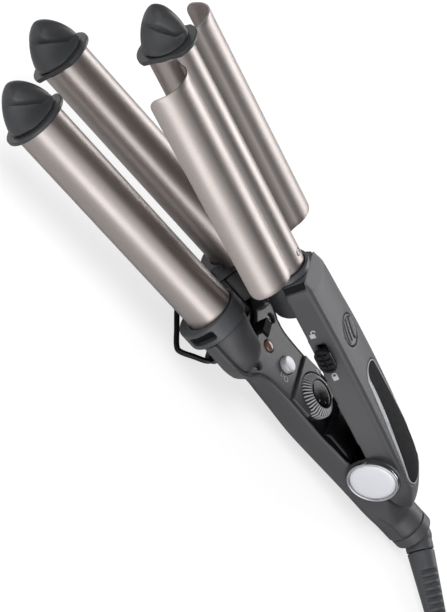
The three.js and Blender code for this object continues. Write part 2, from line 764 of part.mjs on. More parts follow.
function powerButton() {
  const top = DECK_Z + BUTTON_PROUD;
  return join(
    barZ(BUTTON_R, DECK_Z - 3, top - 0.7, BUTTON_X, 0, 20),
    barZ(BUTTON_R, top - 0.71, top, BUTTON_X, 0, 20, BUTTON_R - 0.8),
  );
}

function powerSwitch() {
  return join(
    box(BUTTON_X - 3, BUTTON_X + 3, -3, 3, BOARD_Z + BOARD_T + GAP, DECK_Z - 5.2),
    barZ(1.6, DECK_Z - 5.3, DECK_Z - 4.3, BUTTON_X, 0, 16),
  );
}

function indicatorLamp() {
  const profile = [new THREE.Vector2(0, DECK_Z - 5)];
  profile.push(new THREE.Vector2(LAMP_R, DECK_Z - 5), new THREE.Vector2(LAMP_R, DECK_Z + 0.2));
  for (let k = 1; k <= 4; k += 1) {
    const a = (RIGHT * k) / 4;
    profile.push(new THREE.Vector2(k === 4 ? 0 : LAMP_R * Math.cos(a), DECK_Z + 0.2 + 1.3 * Math.sin(a)));
  }
  const geometry = new THREE.LatheGeometry(profile, 16);
  geometry.rotateX(RIGHT);
  geometry.translate(LAMP_X, 0, 0);
  return solid(geometry);
}

// Countersunk screw standing in a panel along Z, head up or down
function screw(x, y, headZ, up) {
  const shank = 6 * up;
  const head = barZ(SCREW_R, Math.min(headZ, headZ - 1.2 * up), Math.max(headZ, headZ - 1.2 * up), x, y, 16);
  const z1 = headZ - up;
  const shaft = barZ(SHANK_R, Math.min(z1, z1 - shank), Math.max(z1, z1 - shank), x, y, 8);
  const slot = box(x - 1.2, x + 1.2, y - 0.3, y + 0.3, headZ - 0.4, headZ + 0.4);
  return cut(join(head, shaft), slot);
}

// Hinge hardware
function hingePin() {
  return barY(PIN_R, -CHEEK_OUT_Y, CHEEK_OUT_Y, 0, 0, 16);
}

function pivotRim(side) {
  const y0 = CHEEK_OUT_Y + GAP;
  const profile = [[CAP_FACE_R + GAP, y0], [CAP_R - 0.4, y0], [CAP_R, y0 + 0.5], [CAP_R, y0 + CAP_T - 1],
    [CAP_R - 0.9, y0 + CAP_T], [CAP_FACE_R + 0.6, y0 + CAP_T], [CAP_FACE_R + GAP, y0 + CAP_T - 0.4]];
  return ringOfRevolution(profile, side);
}

function pivotCap(side) {
  const y0 = CHEEK_OUT_Y + GAP;
  const top = y0 + CAP_T + 0.1;
  const profile = [[0, y0], [CAP_FACE_R, y0], [CAP_FACE_R, top - 1], [CAP_FACE_R - 1.4, top - 0.4],
    [CAP_FACE_R * 0.5, top - 0.08], [0, top]];
  return ringOfRevolution(profile, side);
}

function ringOfRevolution(profile, side) {
  const points = profile.map(([r, y]) => new THREE.Vector2(r, y));
  if (profile[0][0] > 0) points.push(points[0].clone());
  const geometry = new THREE.LatheGeometry(points, 24);
  if (side < 0) geometry.rotateX(Math.PI);
  const made = solid(geometry);
  return made.volume() > 0 ? made : solid(flipped(solidIndexed(geometry)));
}

function solidIndexed(geometry) {
  return geometry.index ? geometry : mergeVertices(geometry);
}

function returnSpring() {
  const points = [];
  points.push([-SPRING_R - 4, -SPRING_HALF, -SPRING_R]);
  for (let k = 0; k <= SPRING_TURNS * 8; k += 1) {
    const a = -RIGHT - (2 * Math.PI * k) / 8;
    const turn = k / (SPRING_TURNS * 8);
    points.push([SPRING_R * Math.cos(a), SPRING_HALF * (2 * turn - 1), SPRING_R * Math.sin(a)]);
  }
  points.push([SPRING_R + 1, SPRING_HALF, -SPRING_R]);
  return solid(tubeAlong(points, SPRING_WIRE_R, SPRING_TURNS * 8 + 4, 5));
}

// Upper arm pieces, drawn closed
function upperCasing() {
  const restBox = new THREE.BoxGeometry(60, 80, 40);
  restBox.translate(9 + 30, 0, TAIL_SEAT_Z - 20);
  restBox.rotateY(-OPEN_ANGLE);
  let casing = cut(
    upperLoft(UPPER_STATIONS, 0, UPPER_Z),
    upperLoft(UPPER_HOLLOW, UPPER_WALL, UPPER_Z - 8),
  );
  casing = cut(casing, barY(EAR_R + GAP, -CHEEK_IN_Y, CHEEK_IN_Y, 0, 0, 20));
  [-1, 1].forEach((side) => {
    const y0 = side > 0 ? CHEEK_IN_Y : -CHEEK_OUT_Y;
    casing = join(casing, barY(CHEEK_R, y0, y0 + CHEEK_OUT_Y - CHEEK_IN_Y, 0, 0, 24));
  });
  casing = join(casing, ...COVER_SCREW_X.map((x) => cut(
    barZ(3, UPPER_Z + 2 + GAP, upperTable(x, 3) - 0.8, x, 0, 14),
    barZ(SHANK_R + GAP, 0, UPPER_Z + 9, x, 0, 12),
  )));
  const [slotLow, slotHigh] = [LOCK_Z - LOCK_SLOT_H / 2 - GAP, LOCK_Z + LOCK_SLOT_H / 2 + GAP];
  return cut(
    casing,
    solid(restBox),
    barY(PIN_R + PIN_CLEARANCE, -30, 30, 0, 0, 16),
    barX(CENTRE_R + GAP, UPPER_FRONT_X - 5, CENTRE_END_X + GAP, 0, 0, 32),
    barZ(VENT_R + GAP, 8, 20, VENT_X, 0, 24),
    box(LOCK_X - 4 - LOCK_TRAVEL - GAP, LOCK_X + 4 + GAP, -20, -10, slotLow, slotHigh),
    badgeRecess(),
    underSeat(),
  );
}

// The seat's half-round top sits under the casing, so the casing clears it.
function underSeat() {
  return box(UPPER_FRONT_X - 1, SEAT_END_X, -SEAT_R - GAP, SEAT_R + GAP, -20, UPPER_Z);
}

function badgeOutline(margin) {
  const points = [];
  const r0 = BADGE_W0 - margin;
  const r1 = BADGE_W1 - margin;
  for (let k = 0; k <= 8; k += 1) {
    const a = RIGHT + (Math.PI * k) / 8;
    points.push([BADGE_X0 + BADGE_W0 + r0 * Math.cos(a), r0 * Math.sin(a)]);
  }
  for (let k = 0; k <= 8; k += 1) {
    const a = -RIGHT + (Math.PI * k) / 8;
    points.push([BADGE_X1 - BADGE_W1 + r1 * Math.cos(a), r1 * Math.sin(a)]);
  }
  return points;
}

// The recess follows the casing's top, 1.2 mm deep under the badge.
function badgeRecess() {
  return cut(plate(badgeOutline(0), 2, 25), upperLoft(BADGE_STATIONS, 1.2, 0));
}

function badgePlate() {
  const under = upperLoft(BADGE_STATIONS, 1.2 - GAP, 0);
  const skin = upperLoft(BADGE_STATIONS, 0.1, 0);
  return cut(skin, under).intersect(plate(badgeOutline(1.3 + GAP), 2, 25));
}

function badgeRim() {
  const under = upperLoft(BADGE_STATIONS, 1.2 - GAP, 0);
  const skin = upperLoft(BADGE_STATIONS, -0.1, 0);
  const band = cut(plate(badgeOutline(GAP), 2, 25), plate(badgeOutline(1.3), 1, 26));
  return cut(skin, under).intersect(band);
}

function innerCover() {
  const x0 = SEAT_END_X + 1;
  const x1 = -14;
  const xs = [x0, ...UPPER_STATIONS.filter((x) => x > x0 + 1 && x < x1 - 1), x1];
  const half = (x) => upperHalfAt(x, UPPER_Z + 2) - UPPER_WALL - COVER_FIT;
  const outline = [...xs.map((x) => [x, -half(x)]), ...xs.reverse().map((x) => [x, half(x)])];
  return cut(
    plate(outline, UPPER_Z + 0.3, UPPER_Z + 2),
    box(-88.5, -75.5, -4.4, 4.4, 0, 5),
    ...COVER_SCREW_X.map((x) => barZ(SCREW_R + GAP, 0, 5, x, 0, 16)),
  );
}

function barrelSeat() {
  const lower = join(
    barX(SEAT_R, UPPER_FRONT_X - GAP + 0.3, SEAT_END_X - 4, 0, 0, 40),
    barX(SEAT_R, SEAT_END_X - 4.01, SEAT_END_X, 0, 0, 40, SEAT_R - 3),
  ).intersect(box(UPPER_FRONT_X + GAP - 0.3, SEAT_END_X, -20, 20, -20, UPPER_Z - GAP));
  return cut(lower, barX(CENTRE_R + GAP, UPPER_FRONT_X - 5, CENTRE_END_X + GAP, 0, 0, 44));
}

function centreRing() {
  return cut(
    barX(RING_R, BARREL_END_X + 0.4, UPPER_FRONT_X - GAP, 0, 0, 36),
    barX(CENTRE_R + GAP, BARREL_END_X - 1, UPPER_FRONT_X + 1, 0, 0, 36),
  );
}

function ventInsert() {
  const top = upperTable(VENT_X, 3) - 0.5;
  const slots = [-4, 0, 4].map((offset) => {
    const geometry = new THREE.BoxGeometry(1.6, 10, 6);
    geometry.rotateZ(-0.35);
    geometry.translate(VENT_X + offset, 0, top);
    return solid(geometry);
  });
  return cut(barZ(VENT_R, top - 2.4, top, VENT_X, 0, 28), ...slots);
}

function lockSlider() {
  const length = LOCK_LENGTH;
  const outline = roundedRect(LOCK_X - length / 2, LOCK_X + length / 2, LOCK_Z - LOCK_HEIGHT / 2,
    LOCK_Z + LOCK_HEIGHT / 2, LOCK_HEIGHT / 2 - 0.2);
  const inY = -upperTable(LOCK_X, 1) - GAP;
  const thumb = sidePlate(outline, inY - 2.2, inY);
  const grooves = [-3, 0, 3].map((dx) => (
    box(LOCK_X + dx - 0.5, LOCK_X + dx + 0.5, inY - 3, inY - 1.5, LOCK_Z - LOCK_HEIGHT, LOCK_Z + LOCK_HEIGHT)
  ));
  const neck = lockBar(LOCK_X - 4, inY - 0.5, -11 - GAP);
  return join(cut(thumb, ...grooves), neck);
}

// A flat bar through the slider's slot, ending level with the slider's neck
function lockBar(x0, y0, y1) {
  return box(x0, LOCK_X + 4, y0, y1, LOCK_Z - LOCK_SLOT_H / 2, LOCK_Z + LOCK_SLOT_H / 2);
}

// Hook that passes the end of the catch and slides under its lip
function latchHook() {
  const tip = CATCH_X + 2.4;
  const top = CATCH_TOP - CATCH_LIP_T - 0.4;
  const under = top - HOOK_T;
  const outline = [[tip, under], [tip + 5, under], [tip + 5, LOCK_Z],
    [tip + 3, LOCK_Z], [tip + 3, top], [tip, top]];
  return join(lockBar(tip + 2, -11, HOOK_Y1), sidePlate(outline, HOOK_Y0, HOOK_Y1));
}

// Wire stand: turned-in ends, slanted legs and a foot bar bowed towards the tips
function standWire() {
  const bends = wirePoints(STAND_LUG_Y + 1).map((p) => new THREE.Vector3(...p));
  const bar = new THREE.CatmullRomCurve3(bends, false, 'centripetal');
  const points = bar.getPoints(90).map((p) => [p.x, p.y, p.z]);
  return solid(tubeAlong(points, WIRE_R, 46, 8));
}

function wirePoints(end) {
  const start = [STAND_PIVOT_X, end, STAND_PIVOT_Z];
  const hip = [STAND_PIVOT_X, STAND_Y + 1.4, STAND_PIVOT_Z];
  const corner = [STAND_FOOT_X, STAND_Y, STAND_FOOT_Z];
  const middle = [STAND_FOOT_X - STAND_BOW, 0, STAND_FOOT_Z];
  const blend = (a, b, t) => a.map((v, i) => v + (b[i] - v) * t);
  const r = 2.6;
  const toward = (a, b, d) => blend(a, b, d / Math.hypot(...a.map((v, i) => b[i] - v)));
  const bend = (before, at, after) => {
    const [from, to] = [toward(at, before, r), toward(at, after, r)];
    return [from, toward(blend(from, to, 0.5), at, 0.75), to];
  };
  const half = [
    start,
    ...bend(start, hip, corner),
    blend(hip, corner, 0.5),
    ...bend(hip, corner, middle),
    blend(corner, middle, 0.5),
    toward(middle, corner, 3),
  ];
  const other = half.map(([x, y, z]) => [x, -y, z]).reverse();
  return [...half, [STAND_FOOT_X - STAND_BOW + 0.3, 0, STAND_FOOT_Z], ...other];
}

// Swivel at the tail
const sleeveAxis = new THREE.Vector3(
  Math.cos(SLEEVE_ANGLE),
  -Math.sin(SLEEVE_ANGLE) * Math.cos(SLEEVE_DROOP),
  -Math.sin(SLEEVE_ANGLE) * Math.sin(SLEEVE_DROOP),
);

function alongSleeve(profile, sides) {
  const geometry = new THREE.LatheGeometry(profile.map(([r, d]) => new THREE.Vector2(r, d)), sides);
  const turn = new THREE.Quaternion().setFromUnitVectors(new THREE.Vector3(0, 1, 0), sleeveAxis);
  geometry.applyQuaternion(turn);
  geometry.translate(KNUCKLE_X, 0, TAIL_Z);
  return solid(geometry);
}

function swivelKnuckle() {
  const ball = new THREE.SphereGeometry(KNUCKLE_R, 16, 10);
  ball.translate(KNUCKLE_X, 0, TAIL_Z);
  const stubR = KNUCKLE_R - 0.5;
  const stubEnd = SLEEVE_START - GAP;
  return join(
    solid(ball),
    barX(TAIL_BORE_R - GAP, TAIL_END_X - 12, TAIL_END_X - 0.5, 0, TAIL_Z, 24),
    barX(4.5, TAIL_END_X - 3, KNUCKLE_X, 0, TAIL_Z, 16),
    alongSleeve([[0, 0], [stubR, 0], [stubR, stubEnd], [0, stubEnd]], 20),
  );
}

function cordSleeve() {
  const smooth = SLEEVE_LENGTH * 0.42;
  const radiusAt = (d) => SLEEVE_R0 + (SLEEVE_R1 - SLEEVE_R0) * (d / SLEEVE_LENGTH);
  const profile = [[0, SLEEVE_START], [SLEEVE_R0, SLEEVE_START], [radiusAt(smooth), SLEEVE_START + smooth]];
  const pitch = (SLEEVE_LENGTH - smooth - 3) / SLEEVE_RIBS;
  for (let k = 0; k < SLEEVE_RIBS; k += 1) {
    const d = smooth + k * pitch;
    const r = radiusAt(d);
    profile.push([r - 0.9, SLEEVE_START + d + pitch * 0.3], [r - 0.1, SLEEVE_START + d + pitch * 0.8]);
  }
  profile.push([SLEEVE_R1, SLEEVE_START + SLEEVE_LENGTH], [0, SLEEVE_START + SLEEVE_LENGTH]);
  return alongSleeve(profile, 14);
}

function tailRing() {
  return cut(
    barX(TAIL_R, TAIL_RING_X + GAP, TAIL_END_X, 0, TAIL_Z, 32),
    barX(TAIL_BORE_R, TAIL_RING_X - 4, TAIL_END_X + 1, 0, TAIL_Z, 28),
    belowHeel(),
  );
}

// The surface the tool lies on, seen in the leaning group
const footZ = STAND_FOOT_Z - WIRE_R;
const heelZ = TAIL_Z - TAIL_R + HEEL_FLAT;
const LEAN = Math.atan2(heelZ - footZ, TAIL_END_X - STAND_FOOT_X);

function belowHeel() {
  const depth = 20;
  const slab = new THREE.BoxGeometry(-2 * BARREL_TIP_X, 2 * BARREL_PITCH, depth);
  slab.translate(0, 0, -depth / 2);
  slab.rotateY(-LEAN);
  slab.translate(TAIL_END_X, 0, heelZ);
  return solid(slab);
}

// Mains cord, in the frame of the surface it lies on
const LEAD = [[170.43, -36.3, 6.23], [174.85, -41.2, 5.8], [179.8, -46.65, 5.3], [185.15, -52.58, 4.92],
  [190.33, -58.3, 4.75]];
const COIL_CENTRE = [228.3, -33.4];
const COIL_START = THREE.MathUtils.degToRad(222);
const COIL_BULGE = 1;
const TAIL = [[262.27, -60.81, 26.05], [266.75, -55.84, 26.05], [271.91, -44.77, 26.6],
  [272.37, -31.47, 28.94], [267.39, -19.14, 32.13], [257.82, -9.89, 35.03], [247.51, -5.73, 36.44],
  [240.86, -5.03, 36.6], [238.3, -5.03, 36.6]];

// Radius and height of the coil after so many turns: four flat spirals, in and out by turns
function coilPlace(turns) {
  const layer = Math.min(Math.floor(turns / (LAYER_TURNS + 0.5)), COIL_LAYERS - 1);
  const done = turns - layer * (LAYER_TURNS + 0.5);
  const climb = Math.max(done - LAYER_TURNS, 0) / 0.5;
  const along = Math.min(done, LAYER_TURNS) * COIL_STEP;
  const inward = layer % 2 === 0;
  const span = LAYER_TURNS * COIL_STEP;
  const bulge = COIL_BULGE * Math.sin(Math.PI * climb) * (inward ? -1 : 1);
  const radius = COIL_TURN_R + (inward ? span / 2 - along : along - span / 2) + bulge;
  return [radius, COIL_LIFT + CORD_R + (layer + climb) * COIL_STEP];
}

function coilPoint(turns) {
  const angle = COIL_START + 2 * Math.PI * turns;
  const [radius, z] = coilPlace(turns);
  return [COIL_CENTRE[0] + radius * Math.cos(angle), COIL_CENTRE[1] + radius * Math.sin(angle), z];
}

// The coil's centre line, with a straight stretch of one diameter at both ends
function coilLine() {
  const line = [];
  for (let k = 0; k <= COIL_TURNS * LOOP_STEPS; k += 1) line.push(coilPoint(k / LOOP_STEPS));
  const along = (angle) => [-Math.sin(angle), Math.cos(angle), 0];
  const first = along(COIL_START);
  const last = along(COIL_START + 2 * Math.PI * COIL_TURNS);
  const end = line[line.length - 1];
  line.unshift(line[0].map((v, i) => v - first[i] * 2 * CORD_R));
  line.push(end.map((v, i) => v + last[i] * 2 * CORD_R));
  return line;
}

// One unbroken tube with a ring of points at every point of its centre line
function woundTube(line, radius, ringSides) {
  const rings = line.map((p, i) => {
    const before = new THREE.Vector3(...line[Math.max(i - 1, 0)]);
    const after = new THREE.Vector3(...line[Math.min(i + 1, line.length - 1)]);
    const forward = after.sub(before).normalize();
    const out = new THREE.Vector3(0, 0, 1).cross(forward).normalize();
    const up = forward.clone().cross(out);
    return Array.from({ length: ringSides }, (unused, k) => {
      const a = (2 * Math.PI * k) / ringSides;
      return new THREE.Vector3(...p)
        .addScaledVector(out, radius * Math.cos(a))
        .addScaledVector(up, radius * Math.sin(a));
    });
  });
  return loft(rings);
}

function leastGap(line, radius) {
  let least = Infinity;
  line.forEach((p, i) => {
    for (let j = i + LOOP_STEPS / 2; j < line.length; j += 1) {
      least = Math.min(least, Math.hypot(p[0] - line[j][0], p[1] - line[j][1], p[2] - line[j][2]));
    }
  });
  return least - 2 * radius;
}

// A strap round all the turns, half way between the coil's two ends
function coilTie() {
  const span = (LAYER_TURNS * COIL_STEP) / 2 + CORD_R + TIE_ROOM;
  const top = COIL_LIFT + 2 * CORD_R + (COIL_LAYERS - 1) * COIL_STEP + TIE_ROOM;
  const [x, y] = [COIL_CENTRE[0], COIL_CENTRE[1] - COIL_TURN_R];
  const half = TIE_WIDTH / 2;
  return cut(
    box(x - half, x + half, y - span - TIE_T, y + span + TIE_T, 0, top + TIE_T),
    box(x - half - 1, x + half + 1, y - span, y + span, TIE_T, top),
  );
}

// The plug lies flat on the coil and heads to the tips; its outline is drawn from the cord's end
function plugBody() {
  const [endX, y, z] = TAIL[TAIL.length - 1];
  const start = endX - GAP;
  const half = PLUG_WIDTH / 2;
  const side = [[8, 5], [14, half - 4], [PLUG_LENGTH - 6, half], [PLUG_LENGTH, half]];
  const upper = side.map(([ahead, across]) => [start - ahead, y + across]);
  const lower = side.map(([ahead, across]) => [start - ahead, y - across]).reverse();
  return join(
    plate([...upper, ...lower], z - PLUG_T / 2, z + PLUG_T / 2),
    barX(CORD_R + 2, start - 8.1, start, y, z, 16, CORD_R + 1),
  );
}

function plugPin(side) {
  const [endX, y, z] = TAIL[TAIL.length - 1];
  const face = endX - GAP - PLUG_LENGTH;
  const nose = face - PLUG_PIN_LENGTH;
  const pinY = y + (side * PLUG_PITCH) / 2;
  return join(
    barX(PIN_PLUG_R, nose, face - GAP, pinY, z, 14),
    barX(1, nose - 1, nose + 0.01, pinY, z, 14, PIN_PLUG_R),
  );
}

// Assembly
const tool = new THREE.Group();
const lean = new THREE.Group();
const upper = new THREE.Group();
lean.rotation.y = LEAN;
upper.rotation.y = OPEN_ANGLE;
lean.add(upper);
tool.add(lean);

function add(group, name, manifold, look) {
  const mesh = new THREE.Mesh(geometryOf(manifold), finish(...look));
  mesh.name = name;
  group.add(mesh);
  return mesh;
}

const sides = [['front', -1], ['rear', 1]];
add(lean, 'lower_casing', lowerCasing(), SATIN_BLACK);
add(lean, 'control_deck', controlDeck(), SATIN_BLACK);
add(lean, 'dial_deck', dialDeck(), SATIN_BLACK);
add(lean, 'spring_cover', springCover(), GLOSS_BLACK);
add(lean, 'centre_cradle', centreCradle(), CAP_GREY);
add(lean, 'barrel_bridge', barrelBridge(), CAP_GREY);
sides.forEach(([word, side]) => {
  add(lean, `${word}_collar`, collar(side), CAP_GREY);
  add(lean, `${word}_barrel`, barrel(BARREL_R, BARREL_TIP_X, BARREL_END_X, side * barrelY), TITANIUM);
  add(lean, `${word}_heater`, heater(BARREL_R, BARREL_TIP_X, BARREL_END_X, side * barrelY), CERAMIC);
  add(lean, `${word}_tip_cap`, lowerTip(side), CAP_GREY);
  add(lean, `${word}_pivot_rim`, pivotRim(side), CHROME);
  add(lean, `${word}_pivot_cap`, pivotCap(side), PEARL);
  add(lean, `${word}_deck_screw`, screw(SCREW_X, side * SCREW_Y, DECK_Z - 0.3, 1), STEEL);
});
add(lean, 'circuit_board', circuitBoard(), BOARD_GREEN);
add(lean, 'power_switch', powerSwitch(), GLOSS_BLACK);
add(lean, 'dial_potentiometer', dialPotentiometer(), GLOSS_BLACK);
add(lean, 'indicator_lamp', indicatorLamp(), AMBER);
add(lean, 'latch_catch', latchCatch(), GLOSS_BLACK);
add(lean, 'hinge_pin', hingePin(), STEEL);
add(lean, 'return_spring', returnSpring(), STEEL);
add(lean, 'tail_ring', tailRing(), CAP_GREY);
add(lean, 'power_button', powerButton(), CHROME);
add(lean, 'temperature_dial', temperatureDial(), GLOSS_BLACK);
add(lean, 'stand_wire', standWire(), BLACK_WIRE);
add(lean, 'swivel_knuckle', swivelKnuckle(), CAP_GREY);
add(lean, 'cord_sleeve', cordSleeve(), CORD_BLACK);

add(upper, 'upper_casing', upperCasing(), SATIN_BLACK);
add(upper, 'upper_inner_cover', innerCover(), SATIN_BLACK);
add(upper, 'barrel_seat', barrelSeat(), SATIN_BLACK);
add(upper, 'centre_ring', centreRing(), CAP_GREY);
add(upper, 'centre_barrel', barrel(CENTRE_R, BARREL_TIP_X + 1, CENTRE_END_X, 0), TITANIUM);
add(upper, 'centre_heater', heater(CENTRE_R, BARREL_TIP_X + 1, CENTRE_END_X, 0), CERAMIC);
add(upper, 'centre_tip_cap', centreTip(), CAP_GREY);
sides.forEach(([word, side]) => add(upper, `${word}_wing`, wing(side), TITANIUM));
add(upper, 'vent_insert', ventInsert(), SATIN_BLACK);
add(upper, 'badge_plate', badgePlate(), GLOSS_BLACK);
add(upper, 'badge_rim', badgeRim(), CHROME);
COVER_SCREW_X.forEach((x, i) => {
  add(upper, `${sides[i][0]}_cover_screw`, screw(x, 0, UPPER_Z + 0.6, -1), STEEL);
});
add(upper, 'lock_slider', lockSlider(), SATIN_BLACK);
add(upper, 'latch_hook', latchHook(), STEEL);

tool.updateMatrixWorld(true);
const bounds = new THREE.Box3().setFromObject(tool, true);
const centre = bounds.getCenter(new THREE.Vector3());
lean.position.set(-centre.x, -centre.y, -bounds.min.z);

const coil = coilLine();
console.log(`least gap between the coil's turns: ${leastGap(coil, CORD_R).toFixed(2)} mm`);
add(tool, 'cord_lead', solid(tubeAlong(LEAD, CORD_R, 5, 10)), CORD_BLACK);
add(tool, 'cord_coil', woundTube(coil, CORD_R, 6), CORD_BLACK);
add(tool, 'cord_tail', solid(tubeAlong(TAIL, CORD_R, 8, 10)), CORD_BLACK);
add(tool, 'coil_tie', coilTie(), CORD_BLACK);
add(tool, 'plug_body', plugBody(), CORD_BLACK);
[['left', -1], ['right', 1]].forEach(([word, side]) => add(tool, `${word}_plug_pin`, plugPin(side), STEEL));

export default tool;
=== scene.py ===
import math

import bmesh
import bpy
from mathutils import Matrix, Vector


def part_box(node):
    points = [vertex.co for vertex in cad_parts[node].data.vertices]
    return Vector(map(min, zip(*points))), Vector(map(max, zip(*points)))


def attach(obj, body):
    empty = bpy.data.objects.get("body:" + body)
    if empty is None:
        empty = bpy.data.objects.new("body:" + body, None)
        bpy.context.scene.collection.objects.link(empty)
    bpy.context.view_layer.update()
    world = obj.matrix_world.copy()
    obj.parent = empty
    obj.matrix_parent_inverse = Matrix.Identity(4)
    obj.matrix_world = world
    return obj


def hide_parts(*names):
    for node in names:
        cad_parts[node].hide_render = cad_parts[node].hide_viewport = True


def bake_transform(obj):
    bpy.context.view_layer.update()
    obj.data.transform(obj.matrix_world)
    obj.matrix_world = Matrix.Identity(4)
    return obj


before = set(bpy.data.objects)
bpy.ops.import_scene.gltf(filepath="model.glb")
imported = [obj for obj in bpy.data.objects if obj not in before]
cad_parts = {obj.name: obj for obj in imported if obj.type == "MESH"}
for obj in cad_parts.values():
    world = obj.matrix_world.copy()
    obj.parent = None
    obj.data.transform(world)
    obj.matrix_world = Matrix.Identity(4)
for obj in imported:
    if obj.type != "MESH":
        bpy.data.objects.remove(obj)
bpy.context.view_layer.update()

# Frames: the hinge pin's centre is the origin of both arms, X runs along the barrels to the tail
MM = 0.001
LEAN = math.radians(1.0367)
OPEN_ANGLE = math.radians(14.4)
PIN_LOW, PIN_HIGH = (Vector(corner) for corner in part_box("hinge_pin"))
HINGE = (PIN_LOW + PIN_HIGH) / 2
LOWER = Matrix.Translation(HINGE) @ Matrix.Rotation(LEAN, 4, "Y") @ Matrix.Scale(MM, 4)
UPPER = Matrix.Translation(HINGE) @ Matrix.Rotation(LEAN + OPEN_ANGLE, 4, "Y") @ Matrix.Scale(MM, 4)
FLOOR = Matrix.Scale(MM, 4)

# Sizes in millimetres; where the photograph shows a shape better than the CAD model does, they follow it
GAP = 0.3
BEYOND = 30

# Barrels, clamp shells and cool tips
BARREL_R = 11
CENTRE_R = 10
CENTRE_ROOM = CENTRE_R + 0.5
BARREL_Y = 21.4
BARREL_WALL = 1.2
BARREL_TIP_X = -234.3
BARREL_END_X = -114.8
CENTRE_TIP_X = BARREL_TIP_X + 1
CENTRE_END_X = -104
WING_TIP_X = -231.4
WING_END_X = -124.5
WING_SHEET = 0.6
WING_MID_R = 12.1
WING_CORNER_R = 4
WING_EDGE_ANGLE = math.radians(190)
WING_ROOT_ANGLE = math.radians(147)
FLANGE_R = 14.4
CENTRE_FLANGE_R = 13.4
FLANGE_T = 1.9
TIP_R = 11.6
CENTRE_TIP_R = 10.2
TIP_LENGTH = 19.6
TIP_ROLL = math.radians(53)
CENTRE_TIP_ROLL = math.radians(80)
CREASE = 0.42
CREASE_HALF = 4.2
CREASE_SLANT = 0.52

# Lower arm
WALL = 2
DECK_Z = -5.6
DECK_T = 2
RIM = 1.3
HOUSING_R = 14.6
HOUSING_X = -110
HOUSING_END_X = -84
HOUSING_POWER = 2.6
COLLAR_R = 14.5
COLLAR_DROP = 2.2
COLLAR_X = -119
COLLAR_END_X = -110.3
COLLAR_OUT_Y = BARREL_Y + COLLAR_R
TROUGH_R = 13.8
TROUGH_END_X = -94
TROUGH_ARC_X = -95
TROUGH_ARC_LENGTH = 8.5
TROUGH_ARC_HALF = 15.5
NEST_HALF = 16.2
TAIL_R = 10
TAIL_Z = -16.6
TAIL_END_X = 50
TAIL_BORE_R = 7.4
TAIL_RING_X = 44
SEAM_X0 = 25
SEAM_X1 = 43.2
SEAM_Z = -16
SEAM_HALF = 0.28
HEEL_FLAT = 0.4
LOWER_UNDER_POWER = 2.3
LOWER_SIDES = 144

# Upper arm
UPPER_Z = 1.5
UPPER_FRONT_X = -111.5
UPPER_END_X = 31.5
UPPER_WALL = 1.8
FRONT_BAND = 3.4
FRONT_SLOPE_Z = 10.9
FRONT_SLOPE_L = 4.8
SHOULDER_R = 2.6
CROWN = 0.9
SEAT_R = 12
SEAT_END_X = -93
RING_R = 11.8
BARREL_SCREW_X = -120.3

# Hinge
PIN_R = 3
EAR_R = 8.5
EAR_IN_Y = 11.2
EAR_OUT_Y = 14
CHEEK_R = 8.8
CHEEK_IN_Y = 14.3
CHEEK_OUT_Y = 17
CAP_R = 12
CAP_T = 2.7
CAP_FACE_R = 10.5

# Controls on the deck
BUTTON_X = -63.3
BUTTON_R = 3.9
BUTTON_PROUD = 2.6
LAMP_X = -76.4
LAMP_R = 2.7
SCREW_X = -79.5
SCREW_Y = 15.5
SCREW_R = 1.9
SCREW_SINK = 1.3
DIAL_X = -42
DIAL_R = 10.6
DIAL_Z = DECK_Z - 2.2
DIAL_H = 6.2
DIAL_RIBS = 38
DIAL_TOP_R = 6.6
DIAL_SETTINGS = 6
NUMBERS_R = 4.4
DIAL_DECK_X0 = -55
DIAL_DECK_X1 = -43
DIAL_DECK_RISE = 1.5
COVER_X1 = -10
COVER_CROWN_X0 = -30
INLAY_RISE = 3.2

# Lock, vent and badge
LOCK_X = -72
LOCK_Z = 6
LOCK_LENGTH = 13
LOCK_HEIGHT = 8
LOCK_TRAVEL = 3
LOCK_SLOT_H = 3.4
LOCK_NECK = 4
VENT_X = -72.6
VENT_Y = 0.8
VENT_R = 7.3
VENT_STEP = 3.3
VENT_TURN = -0.35
BADGE_X0 = -52
BADGE_X1 = 19
BED_X0 = BADGE_X0 - 6
BED_X1 = BADGE_X1 + 7
BADGE_W0 = 7
BADGE_W1 = 11
BADGE_CRESCENT = 2.6
BADGE_FAR = 3.5
BADGE_DEPTH = 1.2
BADGE_RIM = 0.8

# Stand and swivel
WIRE_R = 1.25
WIRE_BEND = 2.6
WIRE_SIDES = 28
STAND_Y = 22
STAND_PIVOT_X = -95.5
STAND_PIVOT_Z = -17.4
STAND_FOOT_X = -107.5
STAND_FOOT_Z = -27.8
STAND_BOW = 7.5
STAND_LUG_Y = 16
STAND_LUG_T = 5
STAND_LUG_R = 3.4
KNUCKLE_R = 7
KNUCKLE_X = 53
SLEEVE_ANGLE = math.radians(48)
SLEEVE_DROOP = math.radians(4)
SLEEVE_ROLL = math.radians(40)
SLEEVE_START = 7.5
SLEEVE_LENGTH = 44
SLEEVE_PLAIN = SLEEVE_LENGTH * 0.19
SLEEVE_R0 = 6.4
SLEEVE_R1 = 4.1
SLEEVE_WINDOWS = 10
CORD_R = 3.25
CORD_SIDES = 14


# Nodes and colours
def add(tree, kind, settings=None, **links):
    """Adds a node; settings are its properties or its inputs' values, links its inputs' sources."""
    node = tree.nodes.new(kind)
    for key, value in (settings or {}).items():
        if isinstance(key, str) and hasattr(node, key):
            setattr(node, key, value)
        else:
            node.inputs[key].default_value = value
    for key, source in links.items():
        socket = int(key[1:]) if key[0] == "_" else key.replace("_", " ")
        tree.links.new(source, node.inputs[socket])
    return node


def colour(code):
    """sRGB hex to linear RGBA."""
    parts = [int(code[i:i + 2], 16) / 255 for i in (1, 3, 5)]
    return (*(p / 12.92 if p <= 0.04045 else ((p + 0.055) / 1.055) ** 2.4 for p in parts), 1)


